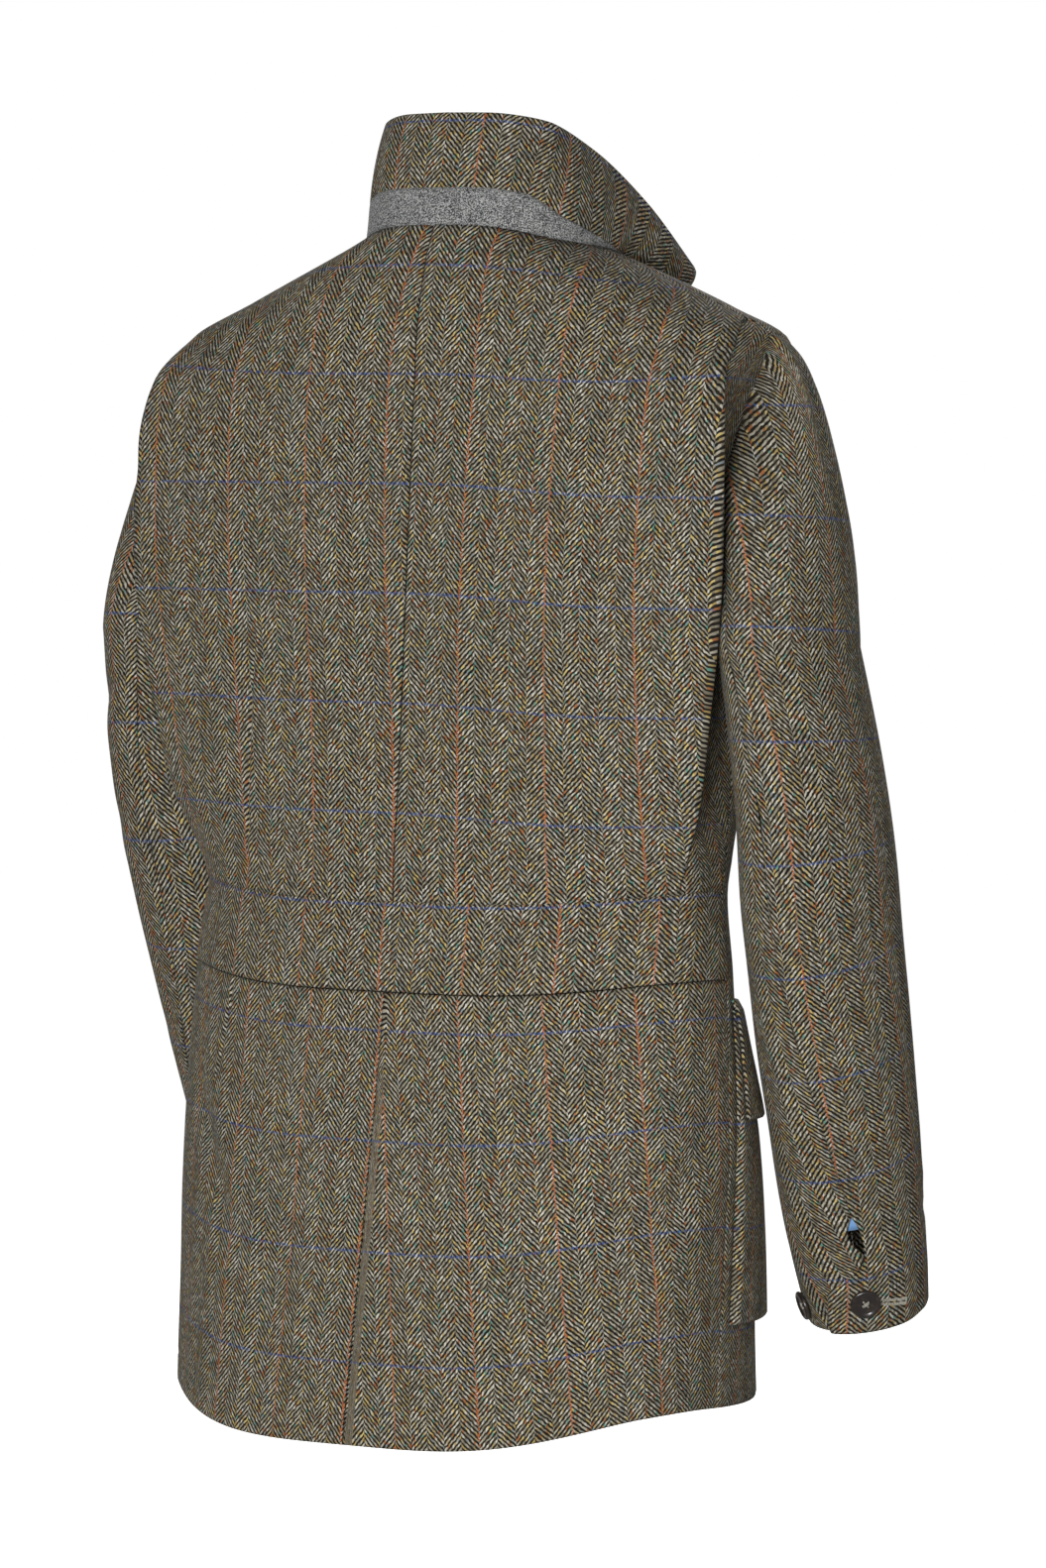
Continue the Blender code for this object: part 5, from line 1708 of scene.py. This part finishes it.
@dataclass
class Sleeves:
    """Two-piece sleeves with a slit and a buttoned tab at the cuff, and the lining that shows in it."""

    finishes: Finishes
    lining_top: float = 1.70
    lining_low: float = 1.837
    slit_top: float = 1.818
    slit_low: float = 1.872
    slit_half: float = 0.0044
    tab_full: float = 1.955
    tab_reach: float = 0.0235
    tab_lift: float = 0.0032
    tab_rise: float = 0.020
    tab_flat_knot: float = 4.3
    tab_end_knot: float = 7.0
    head_lift: float = 0.0030
    head_end: float = 0.45
    head_knots: float = 3.5
    upper_width: float = 0.22
    under_width: float = 0.12
    head_length: float = 0.19
    arm_length: float = 0.39
    cuff_length: float = 0.075
    cuff_step: float = 0.0022
    lining_length: float = 0.08
    lining_girth: float = 0.28
    line_at: float = -0.018
    weft_at: float = 0.045
    upper_cut: Cut = Cut(0.250, 0.650, 0.1300)
    under_cut: Cut = Cut(0.145, 0.600, 0.0645)
    lining_cut: Cut = Cut(0.300, 0.072, 0.0210)

    def reach(self, place: float) -> float:
        """How far the tab reaches past the hind seam; below zero where the slit gapes."""
        if place < self.slit_top:
            return 0.0
        if place < self.slit_low:
            share = (place - self.slit_top) / (self.slit_low - self.slit_top)
            return -self.slit_half * math.sin(math.pi * share)
        share = ease((place - self.slit_low) / (self.tab_full - self.slit_low))
        return self.tab_reach * math.sin(0.5 * math.pi * share)

    def upper_columns(self, place: float) -> List[float]:
        """Places from the free hind edge over the top to the fore seam."""
        step = SLEEVE.knot_length(SLEEVE.hind_knot, place)
        edge = SLEEVE.hind_knot + (0.5 * SEAM_GAP - self.reach(place)) / step
        fore = SLEEVE.fore_knot - 0.5 * SEAM_GAP / SLEEVE.knot_length(SLEEVE.fore_knot, place)
        return crowded(edge, fore, steps(self.upper_width), crowd=0.5)

    def upper_lift(self, knot: float, place: float) -> float:
        """The tab stands off the under sleeve, and the head is level with the shoulder."""
        rise = ease((place - self.slit_low + self.tab_rise) / self.tab_rise)
        rise *= ease((self.tab_end_knot - knot) / (self.tab_end_knot - self.tab_flat_knot))
        crown = ease(1.0 - abs(knot - SLEEVE.top_knot) / self.head_knots)
        return self.tab_lift * rise + self.head_lift * crown * ease(1.0 - place / self.head_end)

    def under_columns(self, place: float) -> List[float]:
        """Places from the fore seam round under the arm to the hind seam."""
        step = SLEEVE.knot_length(SLEEVE.hind_knot, place)
        gape = max(-self.reach(place), 0.0)
        start = SLEEVE.fore_knot + 0.5 * SEAM_GAP / SLEEVE.knot_length(SLEEVE.fore_knot, place)
        end = SLEEVE.knots + SLEEVE.hind_knot - (0.5 * SEAM_GAP + gape) / step
        return crowded(start, end, steps(self.under_width), crowd=0.5)

    def build(self) -> None:
        """Makes three pieces on each side."""
        rows = crowded(0.0, 1.0, steps(self.head_length), crowd=0.3)
        rows += spread(1.0, self.slit_top, steps(self.arm_length))[1:]
        rows += spread(self.slit_top, 2.0, steps(self.cuff_length, self.cuff_step))[1:]
        lining_rows = spread(self.lining_top, self.lining_low, steps(self.lining_length))
        free, seam, hidden = EdgeKind.FREE, EdgeKind.SEAM, EdgeKind.FLAT
        depth = -(WALL + 2.0 * LAYER_GAP)
        tweed = self.finishes.tweed
        for side in Side:
            sleeve, sign = f"sleeve_{side.value}", side.sign
            creases = [
                replace(c, across_0=c.across_0 * sign, across_1=c.across_1 * sign) for c in SLEEVE_CREASES
            ]
            grain = Grain(steady(self.line_at * sign), self.weft_at)
            sew(ClothPiece(
                f"{sleeve}_upper", SLEEVE, rows, self.upper_columns, self.upper_lift, side,
                edges=(seam, seam, hidden, free), creases=creases, grain=grain,
            ), tweed, self.upper_cut, Held.HUNG, f"front_{side.value}_cloth", f"back_{side.value}_cloth")
            sew(ClothPiece(
                f"{sleeve}_under", SLEEVE, rows, self.under_columns, flat, side,
                edges=(seam, seam, hidden, free), creases=creases, grain=grain,
            ), tweed, self.under_cut, Held.HUNG, f"{sleeve}_upper_cloth")
            sew(ClothPiece(
                f"{sleeve}_lining", SLEEVE, lining_rows,
                lambda place: spread(0.0, float(SLEEVE.knots), steps(self.lining_girth)),
                lambda knot, place: depth, side, wall=LINING_WALL,
                edges=(hidden, hidden, hidden, hidden), grain=grain, tube=True, slot="lining",
            ), self.finishes.satin, self.lining_cut, Held.HUNG, f"{sleeve}_upper_cloth")


@dataclass
class TurnedCollar:
    """Collar turned up: felt stand and tweed fall."""

    finishes: Finishes
    height: float = 0.07
    fall_length: float = 0.49
    stand_length: float = 0.40
    stand_rows: int = 24
    line_at: float = 0.034
    weft_at: float = 0.006
    tuck_top: float = -0.14
    tuck_share: float = 0.08
    tuck_end: float = 1.12
    fall_cut: Cut = Cut(0.490, 0.072, 0.0242)
    stand_cut: Cut = Cut(0.345, 0.034, 0.0083)

    def tuck(self, share: float, row: float) -> float:
        """The stand's two long edges go in behind the fall and the back, where they are sewn."""
        away = min(row, 1.0 - row)
        return -(WALL + 0.5 * LAYER_GAP) * ease(1.0 - away / self.tuck_share)

    def build(self) -> None:
        """Makes both pieces."""
        end = CollarSkin.taper_end
        free, seam, hidden = EdgeKind.FREE, EdgeKind.SEAM, EdgeKind.FLAT
        sew(ClothPiece(
            "collar_fall", CollarSkin(False), crowded(0.0, 1.0, steps(self.height, FINE_STEP), crowd=0.6),
            lambda row: crowded(-1.0, 1.0, steps(self.fall_length, FINE_STEP), crowd=0.4), flat,
            edges=(free, free, free, seam), grain=Grain(steady(self.line_at), self.weft_at),
        ), self.finishes.tweed, self.fall_cut, Held.FOLDED, "collar_stand_cloth")
        sew(ClothPiece(
            "collar_stand", CollarSkin(True),
            crowded(self.tuck_top, self.tuck_end, self.stand_rows, crowd=0.3),
            lambda row: spread(-end, end, steps(self.stand_length, FINE_STEP)), self.tuck, wall=MELTON_WALL,
            edges=(seam, seam, hidden, hidden), slot="melton",
        ), self.finishes.melton, self.stand_cut, Held.STRETCHED, "back_left_cloth", "back_right_cloth")


@dataclass(frozen=True)
class ButtonSeat:
    """Where a button sits: its name, its foot on the cloth, its outward way and its radius."""

    node: str
    foot: np.ndarray
    out: np.ndarray
    radius: float


@dataclass
class Buttons:
    """Four-hole horn buttons, their thread, and the buttonholes they pass.

    The profile is the turned half section, in shares of the radius and of the thickness.
    """

    finishes: Finishes
    radius: float = 0.010
    front_radius: float = 0.0115
    thick: float = 0.0036
    profile: Tuple[Pair, ...] = (
        (0.00, 0.00), (0.66, 0.00), (0.90, 0.16), (1.00, 0.42), (1.00, 0.66), (0.96, 0.88),
        (0.88, 1.00), (0.78, 0.96), (0.68, 0.78), (0.60, 0.70), (0.30, 0.66), (0.00, 0.66),
    )
    face: float = 0.66
    sharp_deg: float = 38.0
    sides: int = 48
    hole_radius: float = 0.00105
    hole_away: float = 0.001575
    hole_sides: int = 14
    hole_depth: float = 3.0
    thread_radius: float = 0.00042
    strand_away: float = 0.9
    shank_low: float = -0.0004
    shank_share: float = 1.3
    cuff_place: float = 1.944
    spare_place: float = 1.964
    cuff_knot: float = 2.75
    spare_knot: float = 0.75
    cuff_seat: float = 0.0035
    spare_seat: float = -0.0002
    front_seats: Tuple[Pair, ...] = ((0.325, 0.0040), (0.415, 0.0041), (0.505, 0.0044))
    cuff_hole: Tuple[Pair, Pair] = ((2.90, 1.946), (4.90, 1.960))
    cuff_hole_lift: float = 0.0030
    front_hole: Pair = (-0.012, 0.013)
    front_hole_lift: float = 0.0038
    stitches: int = 22
    slot_half: float = 0.0005
    lip_reach: float = 0.0025
    look_ahead: float = 0.02
    uneven: float = 0.12
    uneven_beat: float = 7.3
    stray: float = 0.0002
    stray_beat: float = 3.1

    def frame_at(self, skin: Skin, column: float, row: float, seat: float) -> Tuple[np.ndarray, np.ndarray]:
        """Foot and outward way of a button on a skin.

        Args:
            skin: Surface.
            column: Place across it.
            row: Place down it.
            seat: Height over it.

        Returns:
            Foot point and outward direction.
        """
        step = 1e-3
        across = skin.point(column + step, row) - skin.point(column - step, row)
        down = skin.point(column, row + step) - skin.point(column, row - step)
        out = unit(np.cross(across, down))
        return skin.point(column, row) + out * seat, out

    def seats(self) -> List[ButtonSeat]:
        """Every button's seat."""
        found = []
        for side in Side:
            flip = np.array((side.sign, 1.0, 1.0))
            for name, knot, place, seat in (
                ("cuff_button", self.cuff_knot, self.cuff_place, self.cuff_seat),
                ("spare_button", self.spare_knot, self.spare_place, self.spare_seat),
            ):
                foot, out = self.frame_at(SLEEVE, knot, place, seat)
                found.append(ButtonSeat(f"{name}_{side.value}", foot * flip, out * flip, self.radius))
        for i, (drop, seat) in enumerate(self.front_seats):
            foot, out = self.frame_at(TORSO, CENTRE_FRONT, drop, seat)
            found.append(ButtonSeat(f"front_button_{i + 1}", foot, out, self.front_radius))
        return found

    def place(self, seat: ButtonSeat) -> Matrix:
        """Matrix from a button's own axes to its seat."""
        across = unit(np.cross(np.array((0.0, 0.0, 1.0)), seat.out))
        up = np.cross(seat.out, across)
        turn = Matrix((across, up, seat.out)).transposed().to_4x4()
        return Matrix.Translation(Vector(seat.foot)) @ turn

    def disc(self, seat: ButtonSeat) -> bpy.types.Object:
        """Turned button with a rim, a dished face and four holes."""
        work = bmesh.new()
        line = [work.verts.new((out * seat.radius, 0.0, up * self.thick)) for out, up in self.profile]
        edges = [work.edges.new(pair) for pair in zip(line, line[1:])]
        bmesh.ops.spin(work, geom=line + edges, cent=(0, 0, 0), axis=(0, 0, 1), angle=2.0 * math.pi,
                       steps=self.sides, use_merge=True, use_duplicate=False)
        bmesh.ops.remove_doubles(work, verts=work.verts, dist=TINY)
        bmesh.ops.recalc_face_normals(work, faces=work.faces)
        cutter = bmesh.new()
        for x in (-1.0, 1.0):
            for y in (-1.0, 1.0):
                spot = Matrix.Translation((x * self.hole_away, y * self.hole_away, self.thick * 0.5))
                bmesh.ops.create_cone(
                    cutter, cap_ends=True, segments=self.hole_sides, radius1=self.hole_radius,
                    radius2=self.hole_radius, depth=self.hole_depth * self.thick, matrix=spot)
        made = new_object(f"{seat.node}_horn", work, self.finishes.horn)
        tool = new_object(f"{seat.node}_cutter", cutter, self.finishes.horn)
        hole = made.modifiers.new("holes", "BOOLEAN")
        hole.object = tool
        hole.operation = "DIFFERENCE"
        graph = bpy.context.evaluated_depsgraph_get()
        cut = bpy.data.meshes.new_from_object(made.evaluated_get(graph))
        made.modifiers.remove(hole)
        bpy.data.objects.remove(tool)
        made.data = cut
        cut.transform(self.place(seat))
        cut.shade_smooth()
        cut.set_sharp_from_angle(angle=math.radians(self.sharp_deg))
        dress(made, "horn", seat.node)
        return made

    def thread(self, seat: ButtonSeat) -> bpy.types.Object:
        """Crossed stitches over the holes, and the shank under the button."""
        away, thin = self.hole_away, self.thread_radius
        top = self.face * self.thick + thin
        work = bmesh.new()
        for sign in (-1.0, 1.0):
            for strand in (-1.0, 1.0):
                aside = strand * self.strand_away * thin
                start = Vector((-away + aside, -away * sign - aside, top))
                end = Vector((away + aside, away * sign - aside, top + 0.5 * thin * (1 + sign)))
                bar(work, start, end, thin)
            for x in (-away, away):
                start, end = Vector((x, sign * away, top)), Vector((x, sign * away, self.shank_low))
                bar(work, start, end, thin * self.shank_share)
        work.transform(self.place(seat))
        made = new_object(f"{seat.node}_thread", work, self.finishes.pale_thread)
        dress(made, "horn")
        return made

    def buttonhole(self, name: str, skin: Skin, start: Pair, end: Pair, lift: float,
                   flip: float) -> bpy.types.Object:
        """Row of stitches on both lips of a slot, with a bar at its far end.

        Args:
            name: Piece name.
            skin: Surface under it.
            start: Column and row of the end by the button.
            end: Column and row of the far end.
            lift: Height of the cloth over the skin.
            flip: -1 to mirror it to the wearer's right.

        Returns:
            The joined stitches.
        """
        across, down = end[0] - start[0], end[1] - start[1]
        reach = self.lip_reach
        work = bmesh.new()
        for i in range(self.stitches + 1):
            share = i / self.stitches
            column, row = start[0] + across * share, start[1] + down * share
            middle, out = self.frame_at(skin, column, row, lift)
            ahead, _ = self.frame_at(
                skin, column + across * self.look_ahead, row + down * self.look_ahead, lift)
            along = unit(ahead - middle)
            aside = np.cross(out, along)
            raised = middle + out * self.thread_radius * 0.5
            uneven = 1.0 + self.uneven * math.sin(self.uneven_beat * i)
            stray = along * self.stray * math.sin(self.stray_beat * i)
            for way in (-1.0, 1.0):
                near = raised + aside * way * self.slot_half + stray
                far = raised + aside * way * reach * uneven
                bar(work, Vector(near), Vector(far), self.thread_radius)
            if i == self.stitches:
                bar(work, Vector(raised + aside * reach), Vector(raised - aside * reach), self.thread_radius)
        if flip < 0.0:
            bmesh.ops.scale(work, vec=(-1.0, 1.0, 1.0), verts=work.verts)
            bmesh.ops.reverse_faces(work, faces=work.faces)
        made = new_object(name, work, self.finishes.pale_thread)
        dress(made, "tweed")
        return made

    def build(self) -> None:
        """Makes every button, its thread and the buttonholes."""
        for seat in self.seats():
            self.disc(seat)
            self.thread(seat)
        for side in Side:
            self.buttonhole(
                f"buttonhole_{side.value}", SLEEVE, *self.cuff_hole, self.cuff_hole_lift, side.sign)
        for i, (drop, _) in enumerate(self.front_seats):
            start, tip = (TORSO.shift(CENTRE_FRONT, away, drop) for away in self.front_hole)
            self.buttonhole(
                f"front_buttonhole_{i + 1}", TORSO, (start, drop), (tip, drop), self.front_hole_lift, 1.0)


BAR_SIDES = 6


def bar(work: bmesh.types.BMesh, start: Vector, end: Vector, radius: float) -> None:
    """Adds one short round stitch between two points.

    Args:
        work: Mesh in the making.
        start: First end.
        end: Second end.
        radius: Thread radius.
    """
    along = end - start
    turn = along.to_track_quat("Z", "Y").to_matrix().to_4x4()
    spot = Matrix.Translation((start + end) * 0.5) @ turn
    bmesh.ops.create_cone(work, cap_ends=True, segments=BAR_SIDES, radius1=radius, radius2=radius,
                          depth=along.length, matrix=spot)


@dataclass(frozen=True)
class Lamp:
    """Soft box: direction from the jacket, size and power."""

    name: str
    azimuth_deg: float
    elevation_deg: float
    away: float
    size: float
    watts: float
    warmth: Colour = (1.0, 1.0, 1.0)


@dataclass
class Studio:
    """Camera of the photograph, soft boxes and a plain pale floor."""

    image_height: int = 1582
    view_deg: float = 33.0
    roll_deg: float = 2.0
    away: float = 5.0
    aside: float = 0.0332
    eye_height: float = -0.3644
    focal_pixels: float = 7600.0
    sensor: float = 36.0
    floor_height: float = -0.87
    floor_radius: float = 30.0
    floor_sides: int = 64
    floor_tone: float = 0.8
    floor_glow: float = 0.85
    ambient: float = 0.22
    lamps: Tuple[Lamp, ...] = (
        Lamp("key", 204.0, -4.0, 2.8, 1.0, 64.0),
        Lamp("fill", 150.0, 14.0, 3.0, 1.8, 1.5),
        Lamp("front_fill", 20.0, 30.0, 3.0, 2.0, 55.0),
    )

    def camera(self) -> None:
        """Level camera behind the wearer's right shoulder blade, on a long lens."""
        turn = math.radians(self.view_deg)
        back = Vector((-math.sin(turn), math.cos(turn), 0.0))
        right = Vector((-math.cos(turn), -math.sin(turn), 0.0))
        up = Vector((0.0, 0.0, 1.0))
        axes = Matrix((right, up, back)).transposed()
        roll = Matrix.Rotation(math.radians(self.roll_deg), 3, back)
        eye = back * self.away + right * self.aside + up * self.eye_height
        lens = bpy.data.cameras.new("photo_view")
        lens.sensor_fit = "VERTICAL"
        lens.sensor_height = self.sensor
        lens.lens = self.focal_pixels / self.image_height * self.sensor
        made = bpy.data.objects.new("photo_view", lens)
        made.matrix_world = Matrix.Translation(eye) @ (roll @ axes).to_4x4()
        bpy.context.scene.collection.objects.link(made)
        bpy.context.scene.camera = made

    def lights(self) -> None:
        """Soft boxes that point at the middle of the jacket."""
        middle = Vector((0.0, 0.0, self.eye_height))
        for lamp in self.lamps:
            turn, rise = math.radians(lamp.azimuth_deg), math.radians(lamp.elevation_deg)
            way = Vector((math.sin(turn) * math.cos(rise), -math.cos(turn) * math.cos(rise), math.sin(rise)))
            light = bpy.data.lights.new(lamp.name, "AREA")
            light.shape = "DISK"
            light.size = lamp.size
            light.energy = lamp.watts
            light.color = lamp.warmth
            made = bpy.data.objects.new(lamp.name, light)
            aim = way.to_track_quat("Z", "Y").to_matrix().to_4x4()
            made.matrix_world = Matrix.Translation(middle + way * lamp.away) @ aim
            bpy.context.scene.collection.objects.link(made)

    def world(self) -> None:
        """Even white surroundings: full white to the eye, dimmer as light."""
        world = bpy.data.worlds.new("studio")
        world.use_nodes = True
        tree = world.node_tree
        plain = tree.nodes["Background"]
        plain.inputs["Color"].default_value = (1.0, 1.0, 1.0, 1.0)
        plain.inputs["Strength"].default_value = self.ambient
        seen = tree.nodes.new("ShaderNodeBackground")
        seen.inputs["Color"].default_value = (1.0, 1.0, 1.0, 1.0)
        seen.inputs["Strength"].default_value = 1.0
        path = tree.nodes.new("ShaderNodeLightPath")
        mixed = tree.nodes.new("ShaderNodeMixShader")
        tree.links.new(path.outputs["Is Camera Ray"], mixed.inputs["Fac"])
        tree.links.new(plain.outputs[0], mixed.inputs[1])
        tree.links.new(seen.outputs[0], mixed.inputs[2])
        tree.links.new(mixed.outputs[0], tree.nodes["World Output"].inputs["Surface"])
        bpy.context.scene.world = world
        bpy.context.scene.view_settings.view_transform = "Standard"

    def floor(self) -> None:
        """Round white floor under the jacket that gives no light of its own to it."""
        work = bmesh.new()
        bmesh.ops.create_circle(work, cap_ends=True, segments=self.floor_sides, radius=self.floor_radius)
        bmesh.ops.translate(work, vec=(0.0, 0.0, self.floor_height), verts=work.verts)
        pale = bpy.data.materials.new("pale_floor")
        pale.use_nodes = True
        shader = pale.node_tree.nodes["Principled BSDF"]
        shader.inputs["Base Color"].default_value = (*[self.floor_tone] * 3, 1.0)
        shader.inputs["Emission Color"].default_value = (1.0, 1.0, 1.0, 1.0)
        shader.inputs["Emission Strength"].default_value = self.floor_glow
        made = new_object("floor", work, pale)
        made.visible_diffuse = False
        made.visible_glossy = False

    def build(self) -> None:
        """Sets up camera, light, surroundings and floor."""
        self.camera()
        self.lights()
        self.world()
        self.floor()


def main() -> None:
    """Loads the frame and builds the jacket's pieces in order."""
    logging.basicConfig(level=logging.INFO, format="%(name)s %(message)s")
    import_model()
    Studio().build()
    finishes = Finishes()
    for part in (TurnedCollar(finishes), BackBody(finishes), Skirts(finishes), Fronts(finishes),
                 Sleeves(finishes), Buttons(finishes)):
        part.build()
        LOG.info("built %s", type(part).__name__)
    bpy.context.view_layer.update()


if __name__ == "__main__":
    main()
